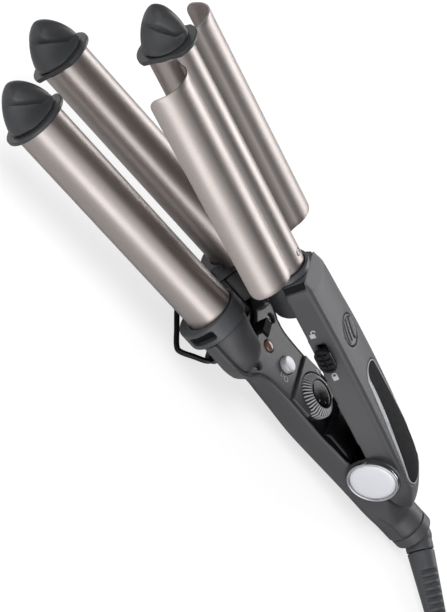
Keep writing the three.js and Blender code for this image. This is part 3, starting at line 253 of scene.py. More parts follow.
def new_material(name):
    material = bpy.data.materials.new(name)
    material.use_nodes = True
    material.node_tree.nodes.clear()
    return material, material.node_tree


def finish_material(tree, shader):
    add(tree, "ShaderNodeOutputMaterial", Surface=shader.outputs[0])


def principled(material, settings, **links):
    """Ends a material in one shader."""
    tree = material.node_tree
    finish_material(tree, add(tree, "ShaderNodeBsdfPrincipled", settings, **links))
    return material


def noise(tree, size, detail, turn=0, roughness=0.5):
    """Cloudy noise with features of a size in mm, turned with the arm that the piece is on."""
    place = add(tree, "ShaderNodeTexCoord")
    space = add(tree, "ShaderNodeMapping", {"vector_type": "TEXTURE", "Location": HINGE,
                                            "Rotation": (0, turn, 0), "Scale": [s * MM for s in size]},
                Vector=place.outputs["Object"])
    return add(tree, "ShaderNodeTexNoise", {"Scale": 1, "Detail": detail, "Roughness": roughness},
               Vector=space.outputs[0]).outputs["Fac"]


def tinted(tree, dark, light, share):
    return add(tree, "ShaderNodeMix", {"data_type": "RGBA", 6: colour(dark), 7: colour(light)},
               _0=share).outputs[2]


def uneven(tree, low, high, share):
    """Spreads the middle of a noise over a range."""
    return add(tree, "ShaderNodeMapRange", {"From Min": 0.3, "From Max": 0.7, "To Min": low, "To Max": high},
               Value=share).outputs[0]


def bumps(tree, strength, depth, height):
    return add(tree, "ShaderNodeBump", {"Strength": strength, "Distance": depth * MM},
               Height=height).outputs[0]


def moulded_plastic(name, dark, light, roughness, grain, depth, coat=0, ior=1.5, specular=0.5):
    """Injection-moulded plastic: an even colour with faint clouding and a fine mould grain."""
    material, tree = new_material(name)
    cloud = noise(tree, (14, 14, 14), 3)
    fine = noise(tree, (grain,) * 3, 2, roughness=0.6)
    blend = add(tree, "ShaderNodeMath", {"operation": "MULTIPLY_ADD", 1: 0.35, 2: 0.3}, _0=fine)
    share = add(tree, "ShaderNodeMath", {"operation": "MULTIPLY_ADD", 1: 0.5}, _0=cloud, _2=blend.outputs[0])
    return principled(
        material,
        {"IOR": ior, "Specular IOR Level": specular, "Coat Weight": coat, "Coat Roughness": 0.06},
        Base_Color=tinted(tree, dark, light, share.outputs[0]),
        Roughness=uneven(tree, roughness - 0.04, roughness + 0.05, fine),
        Normal=bumps(tree, 0.5, depth, fine),
    )


def titanium_coating(name, turn):
    """Bead-blasted and sprayed metal: warm, with a fine speckle and a slowly changing polish."""
    material, tree = new_material(name)
    speckle = noise(tree, (0.35, 0.35, 0.35), 2, turn, 0.6)
    cloud = noise(tree, (40, 14, 14), 2, turn)
    return principled(
        material,
        {"Metallic": 1},
        Base_Color=tinted(tree, "#A8A09D", "#B4ACA9", uneven(tree, 0, 1, speckle)),
        Roughness=uneven(tree, 0.36, 0.42, cloud),
        Normal=bumps(tree, 0.08, 0.006, speckle),
    )


def metal(name, dark, light, roughness, grain, metallic=1.0):
    """Plated, drawn or painted metal with a faint uneven polish."""
    material, tree = new_material(name)
    fine = noise(tree, (grain,) * 3, 2)
    return principled(material, {"Metallic": metallic}, Base_Color=tinted(tree, dark, light, fine),
                      Roughness=uneven(tree, roughness * 0.8, roughness * 1.25, fine))


def amber_lens():
    """A tinted lens over an unlit neon: brown amber, glossy, with a faint mottle."""
    material, tree = new_material("tinted polycarbonate lens")
    fine = noise(tree, (2, 2, 2), 1)
    return principled(material, {"Roughness": 0.12, "IOR": 1.58, "Coat Weight": 0.6, "Coat Roughness": 0.05},
                      Base_Color=tinted(tree, "#5C443A", "#8E6E60", fine))


# Both arms: ABS from a spark-eroded mould, whose fine even grain spreads the highlights softly
SATIN = moulded_plastic("satin moulded ABS", "#353437", "#3D3C40", 0.44, 0.5, 0.03)
# Collars, ring and vent: nylon moulded with glass fibres, which leave it blotchy and a little glossier
NYLON = moulded_plastic("glass-filled nylon", "#303134", "#3A3C3F", 0.36, 0.7, 0.03)
# Cool tips: the same nylon moulded thick, which makes it darker
TIP_NYLON = moulded_plastic("heat-proof nylon", "#252526", "#303133", 0.36, 0.7, 0.04)
# Bridge, seat, dial skirt and small rings: the moulded nylon painted darker, as painted shade for parts
# under the upper arm and between the barrels where little light reaches; also the tail's dark seam; without
# gloss
SHADE_AND_SEAM_NYLON = moulded_plastic("nylon darkened for shade and seams", "#1F2022", "#2A2B2D", 0.45, 0.6, 0.03)
# Inlay, slider and dial top: polycarbonate from a mirror-polished mould, black with sharp reflections
GLOSS = moulded_plastic("polished black polycarbonate", "#08080A", "#101013", 0.15, 3, 0.003, specular=0.2)
# Badge: film printed black from behind, matt and without a reflection of the room
FILM = moulded_plastic("black printed film", "#131315", "#19191B", 0.55, 3, 0.002, specular=0.04)
# Catch: moulded black acetal, dull and waxy; the same near-black is laid as painted shade in the band behind
# the ring and on the floors of the collars' oblong recesses
ACETAL_AND_SHADE = moulded_plastic("black acetal and painted shade", "#0F0F11", "#17171A", 0.6, 0.5, 0.02, specular=0.08)
# Cord: soft PVC extruded over the wires, a dull black skin
PVC = moulded_plastic("soft black PVC", "#191A1C", "#242527", 0.5, 0.5, 0.03)
# Swivel and sleeve: PVC moulded round the cord, greyer than its own skin
SLEEVE_PVC = moulded_plastic("charcoal PVC", "#313235", "#3D3E41", 0.45, 0.5, 0.03)
# Dial's ribs: clear acrylic silvered behind, pale grey with sharp glints
ACRYLIC = moulded_plastic("silvered acrylic", "#A9AAAD", "#C6C7CA", 0.16, 1.2, 0.004, coat=0.8, ior=1.49)
# Marks: ink printed with a soft pad, thin, flat and pale
INK = moulded_plastic("pale printing ink", "#97989B", "#A6A7A9", 0.5, 0.5, 0.002)
# Circuit board: glass cloth pressed in epoxy under green lacquer, an even satin green
BOARD = moulded_plastic("glass-epoxy board", "#1B5230", "#256338", 0.4, 1, 0.01)
# Heaters: ceramic powder pressed and fired, off-white and dry
CERAMIC = moulded_plastic("pressed ceramic", "#DDD6C8", "#EAE4D8", 0.75, 0.4, 0.03)
# Barrels and clamp shells: aluminium blasted with beads and sprayed, a warm satin metal with a speckle
TITANIUM_LOWER = titanium_coating("titanium-coated aluminium, lower arm", LEAN)
TITANIUM_UPPER = titanium_coating("titanium-coated aluminium, upper arm", LEAN + OPEN_ANGLE)
# Hinge rims: ABS plated with bright chrome, nearly a mirror
CHROME = metal("chrome-plated ABS", "#B4B5B8", "#BFC0C3", 0.1, 3)
# Screws, pins and springs: steel plated with zinc, a grey and slightly patchy polish
STEEL = metal("zinc-plated steel", "#8E8F92", "#A6A7AA", 0.3, 0.8)
# Hinge caps and button: silver-white lacquer sprayed on plastic, a soft sheen with a fine sparkle
PEARL = metal("silver-white lacquer", "#CFD0D5", "#D5D6DB", 0.34, 0.25, metallic=0.25)
# Badge's edge: ABS plated with matt chrome, a broad grey highlight
SATIN_CHROME = metal("satin chrome", "#8E9094", "#A2A4A8", 0.4, 0.4, metallic=0.6)
# Stand: drawn spring wire dipped in black lacquer, dark with a wet highlight
BLACK_WIRE = metal("black-lacquered spring wire", "#151517", "#222224", 0.22, 1, metallic=0.5)
# Lamp: polycarbonate tinted amber and moulded as a lens
AMBER = amber_lens()


# Meshes and solids
def linked(name, data):
    obj = bpy.data.objects.new(name, data)
    bpy.context.scene.collection.objects.link(obj)
    return obj


def evaluated(obj):
    """The mesh that an object's modifiers or letters give."""
    bpy.context.view_layer.update()
    return bpy.data.meshes.new_from_object(obj.evaluated_get(bpy.context.evaluated_depsgraph_get()))


def from_faces(points, faces):
    """A new object in millimetres, closed and facing outwards."""
    mesh = bpy.data.meshes.new("work")
    work = bmesh.new()
    made = [work.verts.new(p) for p in points]
    for face in faces:
        work.faces.new([made[i] for i in face])
    bmesh.ops.remove_doubles(work, verts=work.verts, dist=1e-5)
    bmesh.ops.recalc_face_normals(work, faces=work.faces)
    work.to_mesh(mesh)
    work.free()
    return linked("work", mesh)


def loft(rings):
    """A closed skin through rings of equal length, with flat ends."""
    count = len(rings[0])
    faces = []
    for i in range(len(rings) - 1):
        for j in range(count):
            a, b = i * count + j, i * count + (j + 1) % count
            faces.append((a, b, b + count, a + count))
    last = (len(rings) - 1) * count
    faces.append(tuple(range(count - 1, -1, -1)))
    faces.append(tuple(range(last, last + count)))
    return from_faces([p for ring in rings for p in ring], faces)


def turned(profile, place, sides=96, loop=False):
    """A body turned about a frame's Z axis from (radius, height) pairs; loop closes the profile itself."""
    points, faces, rows = [], [], []
    for r, h in profile:
        if r < 1e-6:
            rows.append([len(points)] * sides)
            points.append(place @ Vector((0, 0, h)))
            continue
        rows.append(list(range(len(points), len(points) + sides)))
        for k in range(sides):
            a = 2 * math.pi * k / sides
            points.append(place @ Vector((r * math.cos(a), r * math.sin(a), h)))
    pairs = list(zip(rows, rows[1:] + rows[:1] if loop else rows[1:]))
    for low, high in pairs:
        for k in range(sides):
            ring = [low[k], low[(k + 1) % sides], high[(k + 1) % sides], high[k]]
            ring = [p for i, p in enumerate(ring) if p not in ring[:i]]
            if len(ring) > 2:
                faces.append(ring)
    if not loop:
        for row, step in ((rows[0], -1), (rows[-1], 1)):
            if row[0] != row[1]:
                faces.append(row[::step])
    return from_faces(points, faces)


def axis_frame(origin, direction):
    """A frame whose Z axis runs along a direction from an origin."""
    return Matrix.Translation(origin) @ Vector(direction).to_track_quat("Z", "Y").to_matrix().to_4x4()


def bar(direction, radius, start, end, at=(0, 0, 0), sides=72):
    """A round bar along X, Y or Z from one station to another."""
    step = Vector([c == direction for c in "XYZ"])
    place = axis_frame(Vector(at) - Vector([a * s for a, s in zip(at, step)]) + step * start, step)
    return turned([(radius, 0), (radius, end - start)], place, sides)


def block(x0, x1, y0, y1, z0, z1):
    corners = [(x, y, z) for x in (x0, x1) for y in (y0, y1) for z in (z0, z1)]
    return from_faces(corners, [(0, 1, 3, 2), (4, 6, 7, 5), (0, 4, 5, 1),
                                (2, 3, 7, 6), (0, 2, 6, 4), (1, 5, 7, 3)])


def slab(outline, low, high, normal="Z"):
    """An outline given a thickness along Z or Y; its pairs are (x, y) or (x, z)."""
    return loft([[(a, b, c) if normal == "Z" else (a, c, b) for a, b in outline] for c in (low, high)])


def arc(x, y, r, start, end, steps, tall=None):
    """Points round a centre between two angles in quarter turns; tall is a second radius, along y."""
    angles = [math.pi / 2 * (start + (end - start) * k / steps) for k in range(steps + 1)]
    return [(x + r * math.cos(a), y + (tall or r) * math.sin(a)) for a in angles]


def round_slot(x0, x1, z0, z1, r, steps=10):
    return (arc(x1 - r, z0 + r, r, -1, 0, steps) + arc(x1 - r, z1 - r, r, 0, 1, steps)
            + arc(x0 + r, z1 - r, r, 1, 2, steps) + arc(x0 + r, z0 + r, r, 2, 3, steps))


def span(side, near, far):
    """Two distances from the middle plane as rising stations on one side of it."""
    return sorted((side * near, side * far))


def discard(obj):
    mesh = obj.data
    bpy.data.objects.remove(obj)
    bpy.data.meshes.remove(mesh)


def settle(obj):
    """Turns an object's modifiers into its mesh."""
    mesh = evaluated(obj)
    obj.modifiers.clear()
    old, obj.data = obj.data, mesh
    bpy.data.meshes.remove(old)
    return obj


def combine(first, others, how):
    for other in others:
        step = first.modifiers.new("solid", "BOOLEAN")
        step.solver = "MANIFOLD"
        step.operation = how
        step.object = other
        settle(first)
        discard(other)
    return first


def join(first, *others):
    return combine(first, others, "UNION")


def cut(first, *others):
    return combine(first, others, "DIFFERENCE")


def common(first, *others):
    return combine(first, others, "INTERSECT")


def moulded(obj, voxel, rounds=4):
    """Rounds every edge a little, as a mould does, by an even skin and a few smoothing rounds."""
    skin = obj.modifiers.new("skin", "REMESH")
    skin.mode = "VOXEL"
    skin.voxel_size = voxel * 1
    ease = obj.modifiers.new("ease", "SMOOTH")
    ease.factor = 0.5
    ease.iterations = rounds
    return settle(obj)


def bevelled(obj, width, angle=50):
    edge = obj.modifiers.new("edge", "BEVEL")
    edge.width = width
    edge.segments = 2
    edge.limit_method = "ANGLE"
    edge.angle_limit = math.radians(angle)
    return settle(obj)


def piece(obj, name, body, slot, material, *replaces, place=None, sharp=38, bend=None):
    """Places a finished mesh in the row frame and hands it to its body; with bend, it fixes the mesh where
    it stands and hands it to no body.
    """
    obj.name = obj.data.name = name
    obj.data.transform(place or (UPPER if body in ("upper_arm", "lock") else LOWER))
    obj.data.materials.clear()
    obj.data.materials.append(material)
    obj.data.shade_smooth()
    obj.data.set_sharp_from_angle(angle=math.radians(sharp))
    if bend:
        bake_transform(obj)
    else:
        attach(obj, body)
    if replaces:
        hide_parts(*replaces)


def repaint(material, *nodes):
    """A CAD node whose shape is right keeps it and gets the better material."""
    for name in nodes:
        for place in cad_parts[name].material_slots:
            place.material = material


# Size tables along X
def smooth_table(rows):
    """Reads a column of a table at a station, with monotone slopes between the rows."""
    def read(x, column):
        if x <= rows[0][0]:
            return rows[0][column]
        if x >= rows[-1][0]:
            return rows[-1][column]
        i = max(k for k in range(len(rows) - 1) if x > rows[k][0] or k == 0)

        def slope(k):
            if k <= 0 or k >= len(rows) - 1:
                return 0
            before = (rows[k][column] - rows[k - 1][column]) / (rows[k][0] - rows[k - 1][0])
            after = (rows[k + 1][column] - rows[k][column]) / (rows[k + 1][0] - rows[k][0])
            return 0 if before * after <= 0 else 2 * before * after / (before + after)

        span = rows[i + 1][0] - rows[i][0]
        t = (x - rows[i][0]) / span
        p0, p1 = rows[i][column], rows[i + 1][column]
        h = t * t * (3 - 2 * t)
        return p0 + h * (p1 - p0) + span * (t * (1 - t) ** 2 * slope(i) - t * t * (1 - t) * slope(i + 1))
    return read


# Lower arm: station, half width, height of the widest line, underside, top, top squareness
lower_table = smooth_table([
    (-111, 36, -1, -14.6, 0, 9),
    (-97, 36, -1.5, -14.9, 0, 9),
    (-89, 33, -3, -16, -1.2, 9),
    (-82, 26, -5, -18, -3.6, 9),
    (-76, 19.5, -7.5, -20, DECK_Z + 0.4, 9),
    (-68, 16.6, -9, -22, DECK_Z + 0.4, 9),
    (-56, 15.9, -9.5, -23.6, DECK_Z + 0.4, 9),
    (-34, 16.8, -10, -25, DECK_Z + 0.4, 9),
    (-12, CHEEK_OUT_Y, -10, -24.6, -4.4, 9),
    (4, CHEEK_OUT_Y, -10, -24.4, -2.9, 7),
    (18, 15.8, -11.5, -25, -2.9, 5),
    (27, 12.6, -14, -26.2, -4.4, 3.4),
    (36, TAIL_R, TAIL_Z, TAIL_Z - TAIL_R, TAIL_Z + TAIL_R, 2),
    (TAIL_END_X, TAIL_R, TAIL_Z, TAIL_Z - TAIL_R, TAIL_Z + TAIL_R, 2),
])


def lower_half_at(x, z):
    """Half width of the lower casing's section at a height."""
    wide = lower_table(x, 2)
    edge = lower_table(x, 4 if z > wide else 3)
    share = min(abs((z - wide) / (edge - wide)), 1)
    power = lower_table(x, 5) if z > wide else LOWER_UNDER_POWER
    return lower_table(x, 1) * (1 - share ** power) ** (1 / power)


def lower_ring(x, inset, rise):
    half = lower_table(x, 1) - inset
    wide = lower_table(x, 2)
    under = lower_table(x, 3) + inset
    top = lower_table(x, 4) + rise
    power = lower_table(x, 5)
    ring = []
    for k in range(LOWER_SIDES):
        a = 2 * math.pi * (k + 0.5) / LOWER_SIDES
        c, s = math.cos(a), math.sin(a)
        e = 2 / (power if s > 0 else LOWER_UNDER_POWER)
        y = half * math.copysign(abs(c) ** e, c)
        z = wide + (top - wide if s > 0 else wide - under) * math.copysign(abs(s) ** e, s)
        ring.append((x, y, z))
    return ring


def stations(x0, x1, pitch=2.0):
    steps = max(round((x1 - x0) / pitch), 1)
    return [x0 + (x1 - x0) * k / steps for k in range(steps + 1)]


def lower_loft(x0, x1, inset, rise):
    return loft([lower_ring(x, inset, rise) for x in stations(x0, x1)])


# Upper arm: station, half width at the open edge, half width at the shoulder, top
upper_table = smooth_table([
    (UPPER_FRONT_X, 13.6, 11.8, 12.6),
    (-104, 14.2, 12.9, 13.9),
    (-86, 14.4, 13.2, 14.5),
    (-66, 15.8, 13.8, 15),
    (-50, 17.4, 14, 15),
    (-30, 17.8, 14, 14.7),
    (-10, CHEEK_OUT_Y, 13.8, 14.1),
    (4, CHEEK_OUT_Y, 13.2, 13.6),
    (16, 15.8, 12.2, 12.3),
    (24, 13.6, 10.4, 9.8),
    (29.5, 10.8, 8.4, 6.9),
    (UPPER_END_X, 7.8, 6.2, 5),
])


def upper_ring(x, inset, bottom):
    low = upper_table(x, 1) - inset
    high = upper_table(x, 2) - inset
    top = upper_table(x, 3) - inset
    r = max(min(SHOULDER_R, high - 1) - inset / 2, 0.5)
    slope = (high - low) / (top - CROWN - r - UPPER_Z)
    half = [(low + slope * (bottom - UPPER_Z), bottom), *arc(high - r, top - CROWN - r, r, 0, 1, 12)]
    half += [((high - r) * share, top - CROWN * share * share) for share in (0.75, 0.5, 0.25)]
    return [(x, -y, z) for y, z in half] + [(x, 0, top)] + [(x, y, z) for y, z in reversed(half)]


def upper_loft(x0, x1, inset, bottom, nose=0.0, pitch=2.0):
    """The upper arm's body; nose rounds its front end by that radius."""
    rings = []
    if nose:
        rings = [upper_ring(x0 + nose * (1 - math.cos(a)), inset + nose * (1 - math.sin(a)), bottom)
                 for a in (math.pi / 2 * k / 8 for k in range(8))]
        x0 += nose
    rings += [upper_ring(x, inset, bottom) for x in stations(x0, x1, pitch)]
    return loft(rings)


# Barrels, tips and wings
def barrel(radius, x0, x1, y):
    inner = radius - BARREL_WALL
    profile = [(inner, x0), (radius - 0.25, x0), (radius - 0.07, x0 + 0.07), (radius, x0 + 0.25)]
    profile += [(radius, x) for x in stations(x0 + 1, x1 - 1, 12)]
    profile += [(radius, x1 - 0.25), (radius - 0.25, x1), (inner, x1)]
    return turned(profile, axis_frame((0, y, 0), (1, 0, 0)), 128, loop=True)


def hood_thickness(tip_r, t, across):
    """Half thickness of a tip: scooped in from a round base to a slanting crease, then a rounded lobe."""
    crease = min(max(CREASE - CREASE_SLANT * across, 0.12), 0.78)
    if t < crease:
        return CREASE_HALF + (tip_r - CREASE_HALF) * (1 - t / crease) ** 1.5 * (1 - 0.25 * t)
    s = (t - crease) / (1 - crease)
    lobe = 1.3 * (1 - math.exp(-5 * s)) + 2.5 * s
    return (CREASE_HALF + lobe * min((1 - crease) / 0.5, 1)) * max(1 - s ** 2.4, 0) ** 0.55


def tip_hood(tip_r, base_x, y, blade):
    """A pinched dome: round at its base, a broad arched blade at its end; blade is its roll."""
    rings = []
    rows = 60
    for i in range(rows + 1):
        t = math.sin(math.pi / 2 * i / rows)
        wide = tip_r * max(1 - t ** 1.65, 0) ** 0.62
        lip = 0.5 * max(1 - t / 0.04, 0) ** 2
        ring = []
        for k in range(96):
            a = 2 * math.pi * k / 96
            p = max(wide - lip, 0.05) * math.cos(a)
            thick = min(hood_thickness(tip_r, t, p / tip_r), wide)
            q = max(thick - lip, 0.05) * math.sin(a)
            ring.append((
                base_x - (TIP_LENGTH - 1.6) * t,
                y + p * math.cos(blade) - q * math.sin(blade),
                2.0 * t + p * math.sin(blade) + q * math.cos(blade),
            ))
        rings.append(ring)
    return loft(rings)


def tip_cap(radius, flange_r, tip_r, tip_x, y, flats, blade):
    """Cool tip: the hood on a short neck over a flange, and a plug in the barrel's end."""
    out_x = tip_x - GAP
    flange_x = out_x - FLANGE_T
    r = 0.55
    rim = arc(flange_r - r, flange_x + r, r, -1, 0, 6)
    rim += [(b, flange_x + out_x - h) for b, h in reversed(rim)]
    disc = turned([(0, flange_x), *rim, (0, out_x)], axis_frame((0, y, 0), (1, 0, 0)), 128)
    for y0, y1 in flats:
        cut(disc, block(flange_x - 1, out_x + 1, y0, y1, -BEYOND, BEYOND))
    neck = bar("X", tip_r - 1.4, flange_x - 1, flange_x + 0.5, (0, y, 0), 96)
    plug = bar("X", radius - BARREL_WALL - GAP, out_x - 0.3, out_x + 6, (0, y, 0), 64)
    return join(disc, neck, plug, tip_hood(tip_r, flange_x - 0.7, y, blade))


def wing(side):
    """Half-pipe clamp shell: a bent sheet with rounded corners at its free edge."""
    line, room = [], []
    for k in range(61):
        a = WING_EDGE_ANGLE - (WING_EDGE_ANGLE - 0.86) * k / 60
        room.append(min((WING_EDGE_ANGLE - a) * WING_MID_R, WING_CORNER_R))
        line.append(Vector((-BARREL_Y + WING_MID_R * math.cos(a), WING_MID_R * math.sin(a))))
    root_r = CENTRE_R + GAP + WING_SHEET / 2 + 0.1
    root = Vector((root_r * math.cos(WING_ROOT_ANGLE), root_r * math.sin(WING_ROOT_ANGLE)))
    last = line[-1]
    pull = (last + root) / 2 + Vector((-0.3, -0.5))
    for k in range(1, 13):
        t = k / 12
        line.append(last * (1 - t) * (1 - t) + pull * 2 * t * (1 - t) + root * t * t)
    room += [WING_CORNER_R] * (len(line) - len(room))
    rows = []
    for p, left in zip(line, room):
        back = WING_CORNER_R - math.sqrt(WING_CORNER_R ** 2 - (WING_CORNER_R - left) ** 2)
        x0, x1 = WING_TIP_X + back, WING_END_X - back
        rows.append([(x0 + (x1 - x0) * i / 40, -side * p.x, p.y) for i in range(41)])
    count = len(rows[0])
    faces = [(a, a + 1, a + 1 + count, a + count)
             for j in range(len(rows) - 1) for a in range(j * count, (j + 1) * count - 1)]
    sheet = from_faces([p for row in rows for p in row], faces)
    wall = sheet.modifiers.new("wall", "SOLIDIFY")
    wall.thickness = WING_SHEET
    wall.offset = 0
    wall.use_even_offset = True
    settle(sheet)
    return bevelled(sheet, 0.14, 60)


# Lower arm
def centre_room():
    """Room for the nested upper arm: the centre barrel, its ring and seat, and the casing."""
    return [
        bar("X", CENTRE_ROOM, COLLAR_X - 1, BARREL_END_X),
        block(COLLAR_X - 1, BARREL_END_X, -CENTRE_ROOM, CENTRE_ROOM, 0, 20),
        bar("X", TROUGH_R, BARREL_END_X - 0.01, TROUGH_END_X),
        block(BARREL_END_X - 0.01, TROUGH_END_X, -TROUGH_R, TROUGH_R, 0, 20),
        block(UPPER_FRONT_X - 0.9, HOUSING_END_X + 4, -NEST_HALF, NEST_HALF, -1, 20),
        slab(arc(TROUGH_ARC_X, 0, TROUGH_ARC_LENGTH, -1, 1, 48, TROUGH_ARC_HALF), -12, 20),
    ]


def below_heel():
    """Everything under the surface that the tool lies on."""
    under = block(-200, 200, -50, 50, -20, 0)
    heel = Matrix.Translation((TAIL_END_X, 0, TAIL_Z - TAIL_R + HEEL_FLAT))
    under.data.transform(heel @ Matrix.Rotation(-LEAN, 4, "Y"))
    return under


def deck_outline(x0, x1, margin=RIM + GAP):
    xs = stations(x0, x1, 1.5)
    half = [(x, lower_half_at(x, DECK_Z - 1.2) - margin) for x in xs]
    return [(x, -h) for x, h in half] + half[::-1]


def deck_hole(radius, x, y=0, sides=72):
    return bar("Z", radius, DECK_Z - 5, DECK_Z + 5, (x, y, 0), sides)


def hinge_ear(side):
    outline = [(-EAR_R, TAIL_Z - TAIL_R), (EAR_R, TAIL_Z - TAIL_R), *arc(0, 0, EAR_R, 0, 2, 24)]
    ear = slab(outline, *span(side, EAR_IN_Y, EAR_OUT_Y), "Y")
    return common(ear, join(lower_loft(-20, 18, WALL / 2, 0), block(-20, 20, -16, 16, -11, 12)))


def stand_lug(side):
    ends = span(side, STAND_LUG_Y, STAND_LUG_Y + STAND_LUG_T)
    return join(
        bar("Y", STAND_LUG_R, *ends, (STAND_PIVOT_X, 0, STAND_PIVOT_Z)),
        block(STAND_PIVOT_X - STAND_LUG_R, STAND_PIVOT_X + STAND_LUG_R, *ends, STAND_PIVOT_Z, 1 - HOUSING_R),
    )


def lower_casing():
    shell = cut(
        lower_loft(HOUSING_X, TAIL_RING_X, 0, 0),
        lower_loft(HOUSING_X - 1, 8, WALL, 12),
        slab(deck_outline(-100, COVER_X1 + 12, RIM), DECK_Z - DECK_T - GAP, DECK_Z + 8),
        lower_loft(7.5, 22, WALL, -WALL),
        bar("X", TAIL_BORE_R, 15, TAIL_END_X, (0, 0, TAIL_Z)),
        *[bar("Y", CHEEK_R + GAP, *span(side, EAR_OUT_Y, BEYOND)) for side in (-1, 1)],
    )
    join(shell, hinge_ear(1), hinge_ear(-1), stand_lug(1), stand_lug(-1))
    cut(shell, *centre_room(), bar("Y", PIN_R + 0.1, -BEYOND, BEYOND),
        bar("Y", WIRE_R + 0.2, -BEYOND, BEYOND, (STAND_PIVOT_X, 0, STAND_PIVOT_Z), 24), below_heel())
    return moulded(shell, 0.55)


# Barrel housings on the deck: station, half width, top
housing_table = smooth_table([
    (HOUSING_X, 13, 9.9),
    (-97, 12.6, 6.6),
    (-90, 10.5, 5.0),
    (-86.5, 7, 2.4),
    (-84.6, 3.4, -1.8),
    (HOUSING_END_X, 1, -5.4),
])


def arch(x, y, half, base, rise, power, steps):
    """Points of a rounded arch across the arm at a station."""
    angles = [math.pi * k / steps for k in range(steps + 1)]
    return [(x, y + half * math.copysign(abs(math.cos(a)) ** power, math.cos(a)),
             base + rise * abs(math.sin(a)) ** power) for a in angles]


def housing(side):
    """Sloping back of a barrel's housing, rounded like the letter D where it meets the deck."""
    base = DECK_Z - DECK_T
    return loft([arch(x, side * BARREL_Y, housing_table(x, 1), base, housing_table(x, 2) - base,
                      2 / HOUSING_POWER, 48) for x in stations(HOUSING_X, HOUSING_END_X, 0.8)])


def control_deck():
    shells = join(housing(-1), housing(1))
    upper_part = common(linked("work", shells.data.copy()), block(-112, -80, -40, 40, GAP, 20))
    lower_part = common(shells, block(HOUSING_X + 0.1, -80, -40, 40, DECK_Z - DECK_T, 1),
                        lower_loft(HOUSING_X - 1, -80, RIM + GAP, 12))
    deck = join(slab(deck_outline(-96, DIAL_DECK_X0 - GAP), DECK_Z - DECK_T, DECK_Z), upper_part, lower_part)
    cut(deck, *centre_room(), deck_hole(BUTTON_R + GAP, BUTTON_X), deck_hole(LAMP_R + GAP, LAMP_X),
        *[deck_hole(SCREW_R + 0.5, SCREW_X, side * SCREW_Y) for side in (1, -1)])
    return moulded(deck, 0.42, 3)


def dial_deck():
    deck = slab(deck_outline(DIAL_DECK_X0, DIAL_DECK_X1), DECK_Z - DECK_T, DECK_Z + DIAL_DECK_RISE)
    return moulded(cut(deck, deck_hole(DIAL_R + 0.5, DIAL_X, sides=96)), 0.4, 3)


def spring_cover():
    """Glossy inlay between the dial and the hinge, with a raised crowned middle."""
    base = DECK_Z - DECK_T
    low = cut(slab(deck_outline(DIAL_DECK_X1 + GAP, COVER_X1), base, DECK_Z - 0.9),
              deck_hole(DIAL_R + 0.5, DIAL_X, sides=96))
    rings = []
    for x in stations(COVER_CROWN_X0, COVER_X1, 0.5):
        ends = min(x - COVER_CROWN_X0, COVER_X1 - x)
        rise = INLAY_RISE * min((max(ends, 0) / 2.5) ** 0.5, 1)
        half = lower_half_at(x, DECK_Z) - RIM - 1.6
        rings.append(arch(x, 0, half, base, DECK_T - 0.8 + rise, 0.4, 32))
    return join(low, loft(rings))


def collar(side):
    """Collar that seats a lower barrel's end, hung low on it, with an oblong recess on its outer side."""
    y = side * BARREL_Y
    r = 0.45
    profile = [(0, COLLAR_X), *arc(COLLAR_R - r, COLLAR_X + r, r, -1, 0, 6),
               (COLLAR_R, COLLAR_END_X - 0.3), (COLLAR_R - 0.3, COLLAR_END_X), (0, COLLAR_END_X)]
    ring = turned(profile, axis_frame((0, y, -COLLAR_DROP), (1, 0, 0)), 128)
    ends = span(side, COLLAR_OUT_Y - 3.4, COLLAR_OUT_Y + 1)
    slot = slab(round_slot(-117.2, -112.6, -9.6, 3.2, 1.6), *ends, "Y")
    cut(ring, bar("X", BARREL_R + GAP, COLLAR_X - 1, BARREL_END_X + GAP, (0, y, 0), 96),
        bar("X", 5, COLLAR_X, COLLAR_END_X + 1, (0, y + side * 3, 0), 24), slot, *centre_room())
    return moulded(ring, 0.3, 2)


def slot_shade(side):
    """Painted shade: a black sheet on the floor of a collar's oblong recess."""
    ends = span(side, COLLAR_OUT_Y - 3.3, COLLAR_OUT_Y - 2.9)
    return slab(round_slot(-116.8, -113.0, -9.2, 2.8, 1.3), *ends, "Y")


def barrel_bridge():
    lower = block(COLLAR_X, COLLAR_END_X, -15, 15, -16.4, -8)
    cut(lower, block(COLLAR_X - 1, COLLAR_X + 2.4, -20, 20, -13.4, 0))
    join(lower, *[block(COLLAR_X + 0.8, COLLAR_END_X, y - 0.7, y + 0.7, -15.6, -8) for y in (-5, 0, 5)])
    cut(lower, *centre_room(), *[bar("X", COLLAR_R + GAP, COLLAR_X - 1, COLLAR_END_X + 1,
                                     (0, side * BARREL_Y, -COLLAR_DROP), 96) for side in (-1, 1)])
    return moulded(lower, 0.3, 2)


def panel_seam():
    """Dark seam of the wiring cover on the tail: along its near side, then up over it."""
    strips = []
    for x0, top in ((SEAM_X0, SEAM_HALF), (SEAM_X1 - 0.5, 7)):
        skin = cut(lower_loft(20, 43.5, -0.05, 0.05), lower_loft(19, 44.5, 0.3, -0.3))
        strips.append(common(skin, block(x0, SEAM_X1, -BEYOND, 0, SEAM_Z - SEAM_HALF, SEAM_Z + top)))
    return with_loose(*strips)


def tail_ring():
    r = 0.8
    profile = [(TAIL_BORE_R, TAIL_RING_X + GAP), (TAIL_R - 0.3, TAIL_RING_X + GAP),
               (TAIL_R, TAIL_RING_X + GAP + 0.3), *arc(TAIL_R - r, TAIL_END_X - r, r, 0, 1, 6),
               (TAIL_BORE_R, TAIL_END_X)]
    ring = turned(profile, axis_frame((0, 0, TAIL_Z), (1, 0, 0)), 128, loop=True)
    return cut(ring, below_heel())


# Controls
def round_button():
    top = DECK_Z + BUTTON_PROUD
    r = 0.9
    flat = BUTTON_R - r
    profile = [(0, DECK_Z - 3), (BUTTON_R, DECK_Z - 3), *arc(flat, top - r, r, 0, 1, 8, r - 0.15)]
    profile += [(flat * (1 - k / 8), top - 0.15 * (1 - k / 8) ** 2) for k in range(1, 9)]
    return turned(profile, axis_frame((BUTTON_X, 0, 0), (0, 0, 1)), 96)


